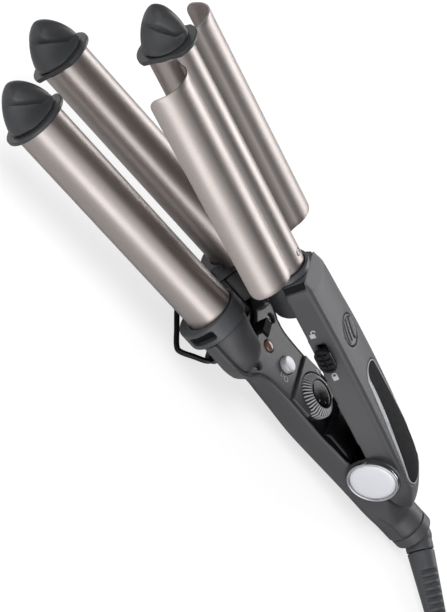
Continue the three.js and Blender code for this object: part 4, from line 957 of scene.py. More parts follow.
def lamp():
    profile = [(0, DECK_Z - 5), (LAMP_R, DECK_Z - 5), *arc(0, DECK_Z + 0.2, LAMP_R, 0, 1, 10, 1.3)]
    return turned(profile, axis_frame((LAMP_X, 0, 0), (0, 0, 1)), 48)


def screw(x, y, z):
    """Countersunk cross-head screw."""
    head = turned([(0, -5.5), (0.6, -5.5), (1.1, -4.8), (1.1, -1.2), (SCREW_R, -0.5), (SCREW_R, -0.2),
                   (SCREW_R - 0.3, 0), (0, 0)], Matrix.Translation((x, y, z)), 40)
    cross = ((1.2, 0.3), (0.3, 1.2))
    return cut(head, *[block(x - a, x + a, y - b, y + b, z - 0.7, z + 0.7) for a, b in cross])


# Geometry Nodes: copies of a rib on a ring or along a line
def rib_tree(name, inputs, build):
    """A tree with named inputs that puts a rib on every point that build gives it."""
    tree = bpy.data.node_groups.new(name, "GeometryNodeTree")
    tree.interface.new_socket("Geometry", in_out="OUTPUT", socket_type="NodeSocketGeometry")
    for label, kind in {**inputs, "Material": "Material"}.items():
        tree.interface.new_socket(label, in_out="INPUT", socket_type="NodeSocket" + kind)
    given = add(tree, "NodeGroupInput").outputs
    copies = add(tree, "GeometryNodeInstanceOnPoints", **build(tree, given))
    real = add(tree, "GeometryNodeRealizeInstances", Geometry=copies.outputs[0])
    painted = add(tree, "GeometryNodeSetMaterial", Geometry=real.outputs[0], Material=given["Material"])
    add(tree, "NodeGroupOutput", Geometry=painted.outputs[0])
    return tree


def ribs_on_ring(tree, given):
    ring = add(tree, "GeometryNodeMeshCircle", Vertices=given["Count"], Radius=given["Ring Radius"])
    rib = add(tree, "GeometryNodeMeshCylinder", {"Vertices": 12, "Side Segments": 1, "Fill Segments": 1},
              Radius=given["Rib Radius"], Depth=given["Height"])
    index = add(tree, "GeometryNodeInputIndex")
    part = add(tree, "ShaderNodeMath", {"operation": "DIVIDE"}, _0=index.outputs[0], _1=given["Count"])
    angle = add(tree, "ShaderNodeMath", {"operation": "MULTIPLY", 1: 2 * math.pi}, _0=part.outputs[0])
    turn = add(tree, "ShaderNodeCombineXYZ", Y=given["Lean"], Z=angle.outputs[0])
    return {"Points": ring.outputs[0], "Instance": rib.outputs[0], "Rotation": turn.outputs[0]}


def ribs_in_row(tree, given):
    line = add(tree, "GeometryNodeMeshLine", {"mode": "OFFSET"}, Count=given["Count"], Offset=given["Step"])
    rib = add(tree, "GeometryNodeMeshCube", Size=given["Size"])
    return {"Points": line.outputs[0], "Instance": rib.outputs[0]}


RIB_RING = rib_tree("ring of ribs", {"Count": "Int", "Ring Radius": "Float", "Rib Radius": "Float",
                                     "Height": "Float", "Lean": "Float"}, ribs_on_ring)
RIB_ROW = rib_tree("row of ribs", {"Count": "Int", "Step": "Vector", "Size": "Vector"}, ribs_in_row)


def grown(tree, values, place):
    """A mesh made by a Geometry Nodes tree from its named inputs, put in its place."""
    obj = linked("work", bpy.data.meshes.new("work"))
    step = obj.modifiers.new("grown", "NODES")
    step.node_group = tree
    for item in tree.interface.items_tree:
        if item.in_out == "INPUT":
            step[item.identifier] = values[item.name]
    settle(obj)
    obj.data.transform(place)
    return obj


def with_loose(first, *others):
    """Several meshes as one, without a boolean."""
    work = bmesh.new()
    for obj in (first, *others):
        work.from_mesh(obj.data)
    work.to_mesh(first.data)
    work.free()
    for obj in others:
        discard(obj)
    return first


def dial_skirt():
    """Fluted skirt of the temperature dial, a low cone, and the ribs on its flutes."""
    foot_r = DIAL_R - 0.45
    inner = DIAL_TOP_R + 0.1
    shoulder_z, top_z = DIAL_Z + 3.9, DIAL_Z + DIAL_H
    body = turned([(2.7, DIAL_Z + 2.4), (2.7, DIAL_Z), (foot_r - 0.25, DIAL_Z), (foot_r, DIAL_Z + 0.3),
                   (foot_r, shoulder_z), (DIAL_TOP_R + 0.5, top_z - 0.1), (DIAL_TOP_R + 0.25, top_z),
                   (inner, top_z - 0.5), (inner, DIAL_Z + 2.4)],
                  axis_frame((DIAL_X, 0, 0), (0, 0, 1)), 120, loop=True)
    across, rise = foot_r - (DIAL_TOP_R + 0.5), top_z - 0.1 - shoulder_z
    ribs = []
    for ring_r, rib_r, height, lean, z in (
        ((DIAL_R + DIAL_TOP_R) / 2, 0.36, math.hypot(across, rise), -math.atan2(across, rise),
         (shoulder_z + top_z) / 2 - 0.05),
        (foot_r, 0.42, shoulder_z - DIAL_Z - 0.3, 0.0, (shoulder_z + DIAL_Z) / 2 + 0.15),
    ):
        ribs.append(grown(RIB_RING, {"Count": DIAL_RIBS, "Ring Radius": ring_r, "Rib Radius": rib_r,
                                     "Height": height, "Lean": lean, "Material": ACRYLIC},
                          Matrix.Translation((DIAL_X, 0, z))))
    return body, with_loose(*ribs)


def dial_top():
    z = DIAL_Z + DIAL_H
    r = DIAL_TOP_R
    profile = [(0, z - 2), (r, z - 2), (r, z - 0.45), (r - 0.25, z - 0.3), (r - 1.4, z - 0.42), (0, z - 0.3)]
    return turned(profile, axis_frame((DIAL_X, 0, 0), (0, 0, 1)))


def lettering(text, size, place, thickness=0.06):
    """Flat generic marks, such as a dial's numbers, as a thin printed mesh."""
    curve = bpy.data.curves.new("work", "FONT")
    curve.body = text
    curve.size = size
    curve.align_x = "CENTER"
    curve.align_y = "CENTER"
    curve.extrude = thickness
    curve.resolution_u = 3
    obj = linked("work", curve)
    mesh = evaluated(obj)
    bpy.data.objects.remove(obj)
    bpy.data.curves.remove(curve)
    mesh.transform(place)
    return linked("work", mesh)


def dial_numbers():
    """Numbers of the settings round the dial's disc."""
    z = DIAL_Z + DIAL_H - 0.36
    marks = []
    for k in range(DIAL_SETTINGS):
        a = math.radians(360 / DIAL_SETTINGS * k - 30)
        place = Matrix.Translation((DIAL_X + NUMBERS_R * math.cos(a), NUMBERS_R * math.sin(a), z))
        marks.append(lettering(str(k + 1), 1.9, place @ Matrix.Rotation(a - math.pi / 2, 4, "Z"), 0.03))
    return with_loose(*marks)


# Hinge
def cap_size(side):
    """Face radius, outer radius and depth of a hinge cap: the far one is smaller and flatter."""
    return (CAP_FACE_R, CAP_R, CAP_T) if side < 0 else (CAP_FACE_R - 3.5, CAP_R - 3.5, CAP_T - 0.8)


def hinge_turned(profile, side, loop):
    return turned(profile, axis_frame((0, 0, 0), (0, side, 0)), 128, loop)


def pivot_rim(side):
    face_r, cap_r, cap_t = cap_size(side)
    y0 = CHEEK_OUT_Y + GAP
    profile = [(face_r + 0.15, y0), (cap_r - 0.4, y0), (cap_r, y0 + 0.4),
               *arc(cap_r - 0.7, y0 + cap_t - 1.2, 0.7, 0, 1, 8, 1.1),
               (face_r + 0.5, y0 + cap_t - 0.25), (face_r + 0.15, y0 + cap_t - 0.8)]
    return hinge_turned(profile, side, True)


def hinge_washer(side):
    """Thin black ring round the chrome rim."""
    _, cap_r, _ = cap_size(side)
    y0 = CHEEK_OUT_Y + GAP / 2
    r0, r1 = cap_r + 0.03, cap_r + 0.65
    return hinge_turned([(r0, y0), (r1, y0), (r1, y0 + 0.9), (r0, y0 + 0.9)], side, True)


def pivot_cap(side):
    face_r, _, cap_t = cap_size(side)
    y0 = CHEEK_OUT_Y + GAP
    top = y0 + cap_t + 0.1
    profile = [(0, y0), (face_r, y0), (face_r, top - 1.1), (face_r - 0.3, top - 0.75),
               (face_r - 1.2, top - 0.45), (face_r - 3, top - 0.2), (4, top - 0.05), (0, top)]
    return hinge_turned(profile, side, False)


# Upper arm, drawn closed
def front_zone():
    """Side room of the shaded band behind the ring, below the casing's front slope, where a black liner
    stands in as painted shade.
    """
    return block(UPPER_FRONT_X - 1, UPPER_FRONT_X + FRONT_BAND, -BEYOND, BEYOND, -BEYOND, FRONT_SLOPE_Z)


def front_shade_band():
    """Painted shade: a black liner in the band behind the ring, standing in for the shadow in that recess.
    """
    skin = cut(upper_loft(UPPER_FRONT_X + 0.3, UPPER_FRONT_X + 6, 0.9, UPPER_Z),
               upper_loft(UPPER_FRONT_X - 1, UPPER_FRONT_X + 8, 1.4, UPPER_Z - 1))
    return common(skin, front_zone())


def front_slope():
    """The wedge that the slanting front end of the casing leaves out."""
    top = upper_table(UPPER_FRONT_X, 3)
    rise = (top - FRONT_SLOPE_Z) / FRONT_SLOPE_L
    corners = [(UPPER_FRONT_X - 1, FRONT_SLOPE_Z - rise),
               (UPPER_FRONT_X + FRONT_SLOPE_L + 3 / rise, top + 3), (UPPER_FRONT_X - 1, top + 3)]
    return slab(corners, -BEYOND, BEYOND, "Y")


def centre_bore():
    return bar("X", CENTRE_R + GAP, UPPER_FRONT_X - 5, CENTRE_END_X + GAP, sides=96)


def upper_casing():
    # The open arm lies against the lower casing behind the hinge, so its underside leaves room there
    rest = block(9, 69, -40, 40, -22.5, -2.5)
    rest.data.transform(Matrix.Rotation(-OPEN_ANGLE, 4, "Y"))
    shell = cut(upper_loft(UPPER_FRONT_X, UPPER_END_X, 0, UPPER_Z, nose=1.0),
                upper_loft(UPPER_FRONT_X + 7, 29, UPPER_WALL, UPPER_Z - 8),
                bar("Y", EAR_R + GAP, -CHEEK_IN_Y, CHEEK_IN_Y))
    join(shell, *[bar("Y", CHEEK_R, *span(side, CHEEK_IN_Y, CHEEK_OUT_Y), sides=96) for side in (-1, 1)])
    slot_half = LOCK_SLOT_H / 2 + GAP
    cut(shell, rest, front_slope(),
        cut(front_zone(), upper_loft(UPPER_FRONT_X - 2, UPPER_FRONT_X + 8, 1.45, UPPER_Z - 1)),
        bar("Y", PIN_R + 0.1, -BEYOND, BEYOND), centre_bore(),
        bar("Z", VENT_R + GAP, 8, 20, (VENT_X, VENT_Y, 0), 96),
        block(LOCK_X - LOCK_NECK - LOCK_TRAVEL - GAP, LOCK_X + LOCK_NECK + GAP, -20, -10,
              LOCK_Z - slot_half, LOCK_Z + slot_half),
        cut(slab(badge_outline(0), 2, 25), upper_loft(BED_X0, BED_X1, BADGE_DEPTH, 0)),
        block(UPPER_FRONT_X - 1, SEAT_END_X, -SEAT_R - GAP, SEAT_R + GAP, -20, UPPER_Z))
    return moulded(shell, 0.5)


def badge_outline(margin, crescent=0.0):
    """The badge's outline in plan: it reaches over the far edge; crescent draws its near side in."""
    r0, r1 = BADGE_W0 - margin, BADGE_W1 - margin
    x0, x1 = BADGE_X0 + BADGE_W0, BADGE_X1 - BADGE_W1
    points = arc(x0, 0, r0, 1, 3, 32)
    points += [(x0 + (x1 - x0) * k / 24, -r0 - (r1 - r0) * k / 24) for k in range(1, 24)]
    points += arc(x1, 0, r1, -1, 1, 32)
    outline = []
    for x, y in points:
        if y > 0:
            outline.append((x, y * (1 + BADGE_FAR / BADGE_W1)))
            continue
        s = min(max((x - BADGE_X0 - margin) / (BADGE_X1 - BADGE_X0), 0), 1)
        draw = crescent * 3.6 * s ** 0.6 * (1 - s) ** 1.6 if y < 0 else 0
        outline.append((x, min(y + draw, max(y, -0.5))))
    return outline


def badge_skin(inset):
    """A layer that follows the casing's top down to the badge's bed."""
    return cut(upper_loft(BED_X0, BED_X1, inset, 0),
               upper_loft(BED_X0 - 2, BED_X1 + 2, BADGE_DEPTH - GAP, -1))


def badge_plate():
    return bevelled(common(badge_skin(0.1), slab(badge_outline(1.0, BADGE_CRESCENT), 2, 25)), 0.2)


def badge_rim():
    band = cut(slab(badge_outline(GAP), 2, 25), slab(badge_outline(BADGE_RIM, BADGE_CRESCENT), 1, 26))
    return bevelled(common(badge_skin(-0.05), band), 0.2)


def barrel_seat():
    r = 3
    profile = [(0, UPPER_FRONT_X), (SEAT_R, UPPER_FRONT_X), *arc(SEAT_R - r, SEAT_END_X - r, r, 0, 1, 8),
               (0, SEAT_END_X)]
    seat = turned(profile, axis_frame((0, 0, 0), (1, 0, 0)), 96)
    common(seat, block(UPPER_FRONT_X, SEAT_END_X, -20, 20, -20, UPPER_Z - GAP))
    return moulded(cut(seat, centre_bore()), 0.36, 3)


def barrel_screw():
    """Small screw that holds the centre barrel, on top of it near the casing, and its dark rim."""
    top = CENTRE_R
    place = axis_frame((BARREL_SCREW_X, 0, 0), (0, 0, 1))
    head = turned([(0, top - 1.5), (1.25, top - 1.5), (1.25, top - 0.25), (1.0, top + 0.02),
                   (0, top + 0.06)], place, 40)
    slot = block(BARREL_SCREW_X - 1.1, BARREL_SCREW_X + 1.1, -0.25, 0.25, top - 0.45, top + 1)
    rim = turned([(1.35, top - 0.6), (1.95, top - 0.6), (1.95, top - 0.1), (1.6, top + 0.03),
                  (1.35, top - 0.05)], place, 40, loop=True)
    return cut(head, slot), rim


def centre_ring():
    x0, x1 = BARREL_END_X + 0.4, UPPER_FRONT_X - GAP
    r = 0.7
    inner = CENTRE_R + GAP
    profile = [(inner, x0 + 0.3), (inner + 0.3, x0), *arc(RING_R - r, x0 + r, r, -1, 0, 6),
               (RING_R, x1 - 0.3), (RING_R - 0.3, x1), (inner, x1)]
    return turned(profile, axis_frame((0, 0, 0), (1, 0, 0)), 128, loop=True)


def vent_insert():
    """Round vent with three long slots that run slantwise along the arm."""
    top = upper_table(VENT_X, 3) - 0.3
    r = 0.6
    profile = [(0, top - 2.4), (VENT_R, top - 2.4), *arc(VENT_R - r, top - r, r, 0, 1, 6),
               (VENT_R - 1.6, top - 0.5), (0, top - 0.8)]
    disc = turned(profile, axis_frame((VENT_X, VENT_Y, 0), (0, 0, 1)), 96)
    place = Matrix.Translation((VENT_X, VENT_Y, top)) @ Matrix.Rotation(VENT_TURN, 4, "Z")
    slots = grown(RIB_ROW, {"Count": 3, "Step": (0.0, VENT_STEP, 0.0), "Size": (10.5, 1.4, 6.0),
                            "Material": SATIN}, place @ Matrix.Translation((0, -VENT_STEP, 0)))
    return bevelled(cut(disc, slots), 0.15)


def lock_slider():
    """The lock's button: a dished plate with six ribs, on a neck through the casing's slot."""
    in_y = -upper_table(LOCK_X, 1) - GAP

    def plate(margin, low, high):
        half_l, half_h = LOCK_LENGTH / 2 - margin, LOCK_HEIGHT / 2 - margin
        return slab(round_slot(LOCK_X - half_l, LOCK_X + half_l, LOCK_Z - half_h, LOCK_Z + half_h,
                               half_h - 0.2), low, high, "Y")

    rim = cut(plate(0, in_y - 2.0, in_y), plate(1.2, in_y - 3, in_y - 1.2))
    ribs = [grown(RIB_ROW, {"Count": 3, "Step": (2.9, 0.0, 0.0), "Size": (1.7, 1.5, 2.0), "Material": GLOSS},
                  Matrix.Translation((LOCK_X - 2.9, in_y - 1.5, LOCK_Z + z))) for z in (-1.35, 1.35)]
    neck = block(LOCK_X - LOCK_NECK, LOCK_X + LOCK_NECK, in_y - 0.5, -11.3,
                 LOCK_Z - LOCK_SLOT_H / 2, LOCK_Z + LOCK_SLOT_H / 2)
    return moulded(join(rim, neck, *ribs), 0.24, 2)


# Printed marks, all generic: padlocks on the upper arm's side, a power mark and a pointer on the deck
def on_side(outline, x):
    """A mark printed on the upper arm's visible side, cut from a thin skin over it."""
    skin = cut(upper_loft(x - 5, x + 5, -0.1, UPPER_Z, pitch=5),
               upper_loft(x - 6, x + 6, 0.2, UPPER_Z - 1, pitch=6))
    return common(skin, slab(outline, -22, -8, "Y"))


def padlock(x, z, lifted):
    """Body and shackle of a small padlock, its shackle towards the barrels."""
    def box(x0, x1, z0, z1):
        return [(x + x0, z + z0), (x + x1, z + z0), (x + x1, z + z1), (x + x0, z + z1)]

    hoop = arc(x - 0.9, z + lifted, 1.15, -1, -3, 12) + arc(x - 0.9, z + lifted, 0.65, -3, -1, 12)
    marks = [box(-0.2, 2.0, -1.2, 1.2), hoop, box(-0.95, -0.1, lifted - 1.15, lifted - 0.7)]
    if not lifted:
        marks.append(box(-0.95, -0.1, 0.7, 1.15))
    return with_loose(*[on_side(mark, x) for mark in marks])


def deck_marks():
    power = lettering("I/O", 4.2, Matrix.Translation((BUTTON_X + 0.6, -7.4, DECK_Z + 0.05)))
    top = DECK_Z + DIAL_DECK_RISE
    pointer = slab([(-45.6, 13.6), (-47.4, 11.9), (-44.6, 11.2)], top - 0.1, top + 0.12)
    return with_loose(power, pointer)


# Stand and swivel
def spline(points, steps):
    """Centripetal Catmull-Rom curve through points, as the CAD model draws its tubes."""
    points = [Vector(p) for p in points]
    points = [points[0] * 2 - points[1], *points, points[-1] * 2 - points[-2]]
    out = []
    for i in range(1, len(points) - 2):
        p0, p1, p2, p3 = points[i - 1:i + 3]
        d = [max((b - a).length ** 0.5, 1e-4) for a, b in ((p0, p1), (p1, p2), (p2, p3))]
        t1 = (p1 - p0) / d[0] - (p2 - p0) / (d[0] + d[1]) + (p2 - p1) / d[1]
        t2 = (p2 - p1) / d[1] - (p3 - p1) / (d[1] + d[2]) + (p3 - p2) / d[2]
        t1, t2 = t1 * d[1], t2 * d[1]
        for k in range(steps):
            t = k / steps
            out.append(p1 * (2 * t ** 3 - 3 * t * t + 1) + t1 * (t ** 3 - 2 * t * t + t)
                       + p2 * (3 * t * t - 2 * t ** 3) + t2 * (t ** 3 - t * t))
    return [*out, points[-2]]


def tube(points, radius, sides):
    """A round tube along points, with a frame carried along it."""
    points = [Vector(p) for p in points]
    tangents = [(points[min(i + 1, len(points) - 1)] - points[max(i - 1, 0)]).normalized()
                for i in range(len(points))]
    across = tangents[0].orthogonal().normalized()
    rings = []
    for p, t in zip(points, tangents):
        across = (across - t * across.dot(t)).normalized()
        up = t.cross(across)
        rings.append([p + (across * math.cos(a) + up * math.sin(a)) * radius
                      for a in (2 * math.pi * k / sides for k in range(sides))])
    return loft(rings)


def stand_wire():
    def between(a, b, t):
        return a + (b - a) * t

    def toward(a, b, distance):
        return between(a, b, distance / (b - a).length)

    def bend(before, at, after):
        """Three points that round a corner off."""
        near, far = toward(at, before, WIRE_BEND), toward(at, after, WIRE_BEND)
        return [near, toward(between(near, far, 0.5), at, 0.75), far]

    start = Vector((STAND_PIVOT_X, STAND_LUG_Y + 1, STAND_PIVOT_Z))
    hip = Vector((STAND_PIVOT_X, STAND_Y + 1.4, STAND_PIVOT_Z))
    corner = Vector((STAND_FOOT_X, STAND_Y, STAND_FOOT_Z))
    middle = Vector((STAND_FOOT_X - STAND_BOW, 0, STAND_FOOT_Z))
    half = [start, *bend(start, hip, corner), between(hip, corner, 0.5), *bend(hip, corner, middle),
            between(corner, middle, 0.5), toward(middle, corner, 3)]
    other = [Vector((p.x, -p.y, p.z)) for p in reversed(half)]
    return tube(spline([*half, middle + Vector((0.3, 0, 0)), *other], 8), WIRE_R, WIRE_SIDES)


SLEEVE_AXIS = Vector((math.cos(SLEEVE_ANGLE), -math.sin(SLEEVE_ANGLE) * math.cos(SLEEVE_DROOP),
                      -math.sin(SLEEVE_ANGLE) * math.sin(SLEEVE_DROOP)))
KNUCKLE = Vector((KNUCKLE_X, 0, TAIL_Z))


def swivel_knuckle():
    stem = SLEEVE_START - 0.4
    knuckle = join(
        turned(arc(0, 0, KNUCKLE_R, -1, 1, 32), axis_frame(KNUCKLE, (1, 0, 0)), 96),
        bar("X", TAIL_BORE_R - GAP, TAIL_END_X - 12, TAIL_END_X - 0.5, (0, 0, TAIL_Z)),
        bar("X", 4.5, TAIL_END_X - 3, KNUCKLE_X, (0, 0, TAIL_Z)),
        turned([(0, 0), (KNUCKLE_R - 0.5, 0), (KNUCKLE_R - 0.5, stem), (0, stem)],
               axis_frame(KNUCKLE, SLEEVE_AXIS)),
    )
    return moulded(knuckle, 0.36, 3)


def sleeve_radius(d):
    return SLEEVE_R0 + (SLEEVE_R1 - SLEEVE_R0) * d / SLEEVE_LENGTH


def cord_sleeve():
    """Tapered strain relief with rows of windows that let it bend."""
    end = SLEEVE_START + SLEEVE_LENGTH
    profile = [(0, SLEEVE_START), (SLEEVE_R0 - 0.4, SLEEVE_START), (SLEEVE_R0, SLEEVE_START + 0.4)]
    profile += [(sleeve_radius(d), SLEEVE_START + d) for d in stations(2, SLEEVE_LENGTH - 0.6, 2)]
    place = axis_frame(KNUCKLE, SLEEVE_AXIS)
    sleeve = turned([*profile, (SLEEVE_R1 - 0.4, end), (0, end)], place, 72)
    pitch = (SLEEVE_LENGTH - SLEEVE_PLAIN - 3) / SLEEVE_WINDOWS
    for k in range(SLEEVE_WINDOWS):
        d = SLEEVE_PLAIN + (k + 0.5) * pitch
        r = sleeve_radius(d)
        outline = round_slot(-r * 0.8, r * 0.8, SLEEVE_START + d - 0.95, SLEEVE_START + d + 0.95, 0.9, 4)
        for side in (-1, 1):
            window = slab(outline, *span(side, r - 1.7, r + 1), "Y")
            window.data.transform(place @ Matrix.Rotation(SLEEVE_ROLL, 4, "Z"))
            cut(sleeve, window)
    return bevelled(sleeve, 0.2, 40)

# Mains cord, in the frame of the surface it lies on: the CAD model's own route
LEAD = [(170.43, -36.3, 6.23), (174.85, -41.2, 5.8), (179.8, -46.65, 5.3), (185.15, -52.58, 4.92),
        (190.33, -58.3, 4.75)]
TAIL = [(262.27, -60.81, 26.05), (266.75, -55.84, 26.05), (271.91, -44.77, 26.6), (272.37, -31.47, 28.94),
        (267.39, -19.14, 32.13), (257.82, -9.89, 35.03), (247.51, -5.73, 36.44), (240.86, -5.03, 36.6),
        (238.3, -5.03, 36.6)]
COIL_CENTRE = (228.3, -33.4)
COIL_START = math.radians(222)
COIL_BULGE = 1
COIL_TURN_R = 36
COIL_STEP = 7.1
COIL_LAYERS = 4
LAYER_TURNS = 2.5
COIL_TURNS = 11.25
LOOP_STEPS = 24
COIL_LIFT = 1.5
CORD_BEND = 10


def coil_point(turns):
    """Four flat spirals, in and out by turns."""
    layer = min(int(turns // (LAYER_TURNS + 0.5)), COIL_LAYERS - 1)
    done = turns - layer * (LAYER_TURNS + 0.5)
    climb = max(done - LAYER_TURNS, 0) / 0.5
    along = min(done, LAYER_TURNS) * COIL_STEP
    inward = layer % 2 == 0
    span = LAYER_TURNS * COIL_STEP
    bulge = COIL_BULGE * math.sin(math.pi * climb) * (-1 if inward else 1)
    radius = COIL_TURN_R + (span / 2 - along if inward else along - span / 2) + bulge
    angle = COIL_START + 2 * math.pi * turns
    return Vector((COIL_CENTRE[0] + radius * math.cos(angle), COIL_CENTRE[1] + radius * math.sin(angle),
                   COIL_LIFT + CORD_R + (layer + climb) * COIL_STEP))


def mains_cord():
    """The cord's tube and its middle line, without points that crowd each other."""
    coil = [coil_point(k / LOOP_STEPS) for k in range(int(COIL_TURNS * LOOP_STEPS) + 1)]
    line = spline(LEAD, 6) + coil + spline(TAIL, 6)
    kept = [line[0]]
    for p in line[1:]:
        if (p - kept[-1]).length > 1.0:
            kept.append(p)
    return tube(kept, CORD_R, CORD_SIDES), kept


# Camera: fitted to the photograph's view of the barrels and the handle
CAMERA_ROWS = ((0.6079, 0.2031, 0.7676), (0.6637, -0.6607, -0.3508), (0.4359, 0.7227, -0.5364))
CAMERA_SHIFT = (70.7693, 66.4069, 1134.906)
FOCAL_PIXELS = 2500.78
PHOTO_HEIGHT = 612
SENSOR = 36


def place_camera():
    rows = Matrix(CAMERA_ROWS)
    centre = -(rows.transposed() @ Vector(CAMERA_SHIFT))
    turn = Matrix.Rotation(LEAN, 3, "Y")
    right, down, ahead = (turn @ row for row in rows)
    data = bpy.data.cameras.new("camera")
    data.lens = FOCAL_PIXELS * SENSOR / PHOTO_HEIGHT
    data.sensor_width = SENSOR
    data.clip_start = 0.01
    data.clip_end = 20
    camera = linked("camera", data)
    basis = Matrix((right, -down, -ahead)).transposed().to_4x4()
    camera.matrix_world = Matrix.Translation(LOWER @ centre) @ basis
    bpy.context.scene.camera = camera


# Stage
FRONT_WALL = (0.1, -0.96, 0.26)
FLOOR_HALF = 9000


def softbox(name, at, aim, size, power):
    data = bpy.data.lights.new(name, "AREA")
    data.shape = "RECTANGLE"
    data.size, data.size_y = size
    data.energy = power
    lamp_object = linked(name, data)
    lamp_object.location = at
    lamp_object.rotation_euler = (Vector(aim) - Vector(at)).to_track_quat("-Z", "Y").to_euler()
    lamp_object.visible_camera = False
    return lamp_object


def light_studio():
    """A white studio with a dark ceiling: white to the camera, soft light, dark bands in the metal."""
    world = bpy.data.worlds.new("studio")
    world.use_nodes = True
    tree = world.node_tree
    tree.nodes.clear()
    path = add(tree, "ShaderNodeLightPath")
    place = add(tree, "ShaderNodeTexCoord")
    split = add(tree, "ShaderNodeSeparateXYZ", Vector=place.outputs["Generated"])
    facing = add(tree, "ShaderNodeVectorMath", {"operation": "DOT_PRODUCT", 1: FRONT_WALL},
                 _0=place.outputs["Generated"])
    wall = add(tree, "ShaderNodeMapRange", {"interpolation_type": "SMOOTHSTEP", "From Min": 0.15,
                                            "From Max": 0.98, "To Min": 0.0, "To Max": 1.2},
               Value=facing.outputs["Value"])
    low = add(tree, "ShaderNodeMapRange", {"interpolation_type": "SMOOTHSTEP", "From Min": -0.02,
                                           "From Max": 0.1, "To Min": 0.6, "To Max": 0.08},
              Value=split.outputs["Z"])
    both = add(tree, "ShaderNodeMath", {"operation": "MAXIMUM"}, _0=wall.outputs[0], _1=low.outputs[0])
    ambient = add(tree, "ShaderNodeMix", {"data_type": "FLOAT", 2: 0.5}, _0=path.outputs["Is Glossy Ray"],
                  _3=both.outputs[0])
    seen = add(tree, "ShaderNodeMath", {"operation": "MAXIMUM"}, _0=path.outputs["Is Camera Ray"],
               _1=path.outputs["Is Transmission Ray"])
    strength = add(tree, "ShaderNodeMix", {"data_type": "FLOAT", 3: 1.0}, _0=seen.outputs[0],
                   _2=ambient.outputs[0])
    light = add(tree, "ShaderNodeBackground", {"Color": (1, 1, 1, 1)}, Strength=strength.outputs[0])
    add(tree, "ShaderNodeOutputWorld", Surface=light.outputs[0])
    bpy.context.scene.world = world
    for name, at, aim, size, power in (
        ("front softbox", (0.45, -1.1, 0.3), (-0.05, 0, 0.05), (1.2, 0.6), 3.5),
        ("top softbox", (-0.75, -0.35, 1.0), (0, 0, 0), (0.8, 0.8), 15),
        ("back softbox", (0.58, 0.92, 0.66), (0.05, 0, 0.03), (1.2, 0.6), 8),
    ):
        softbox(name, at, aim, size, power).visible_glossy = name != "top softbox"


def lay_floor():
    corners = [(-FLOOR_HALF, -FLOOR_HALF), (FLOOR_HALF, -FLOOR_HALF), (FLOOR_HALF, FLOOR_HALF),
               (-FLOOR_HALF, FLOOR_HALF)]
    floor = from_faces([(x, y, -0.2) for x, y in corners], [(0, 1, 2, 3)])
    floor.name = floor.data.name = "floor"
    floor.data.transform(FLOOR)
    material, tree = new_material("white paper")
    path = add(tree, "ShaderNodeLightPath")
    # Paper, bleached and pressed flat: an even white, which the metal reflects as a light grey
    tone = add(tree, "ShaderNodeMix", {"data_type": "RGBA", 6: (*[0.93] * 3, 1), 7: (*[0.55] * 3, 1)},
               _0=path.outputs["Is Glossy Ray"])
    paper = add(tree, "ShaderNodeBsdfDiffuse", Color=tone.outputs[2])
    glow = add(tree, "ShaderNodeEmission", {"Color": (1, 1, 1, 1), "Strength": 1.0})
    share = add(tree, "ShaderNodeMath", {"operation": "MULTIPLY", 1: 0.72}, _0=path.outputs["Is Camera Ray"])
    both = add(tree, "ShaderNodeMixShader", _0=share.outputs[0], _1=paper.outputs[0], _2=glow.outputs[0])
    finish_material(tree, both)
    floor.data.materials.append(material)


place_camera()
bpy.context.scene.view_settings.view_transform = "Standard"
light_studio()
lay_floor()

# Cord first: the coil lies outside the view, as the photograph shows none
cord, line = mains_cord()
route = [p * MM for p in line]
piece(cord, "mains_cord", "swivel", "cord_black", PVC, "cord_lead", "cord_coil", "cord_tail", place=FLOOR,
      bend=("lower_arm", route[0], route[0] + Vector((CORD_BEND * MM, 0, 0))))
repaint(PVC, "coil_tie", "plug_body")
repaint(STEEL, "left_plug_pin", "right_plug_pin", "hinge_pin", "return_spring", "latch_hook",
        "front_cover_screw", "rear_cover_screw")
repaint(CERAMIC, "front_heater", "rear_heater", "centre_heater")
repaint(BOARD, "circuit_board")
repaint(GLOSS, "power_switch", "dial_potentiometer")
repaint(SHADE_AND_SEAM_NYLON, "centre_cradle")
repaint(ACETAL_AND_SHADE, "latch_catch")
repaint(SATIN, "upper_inner_cover")

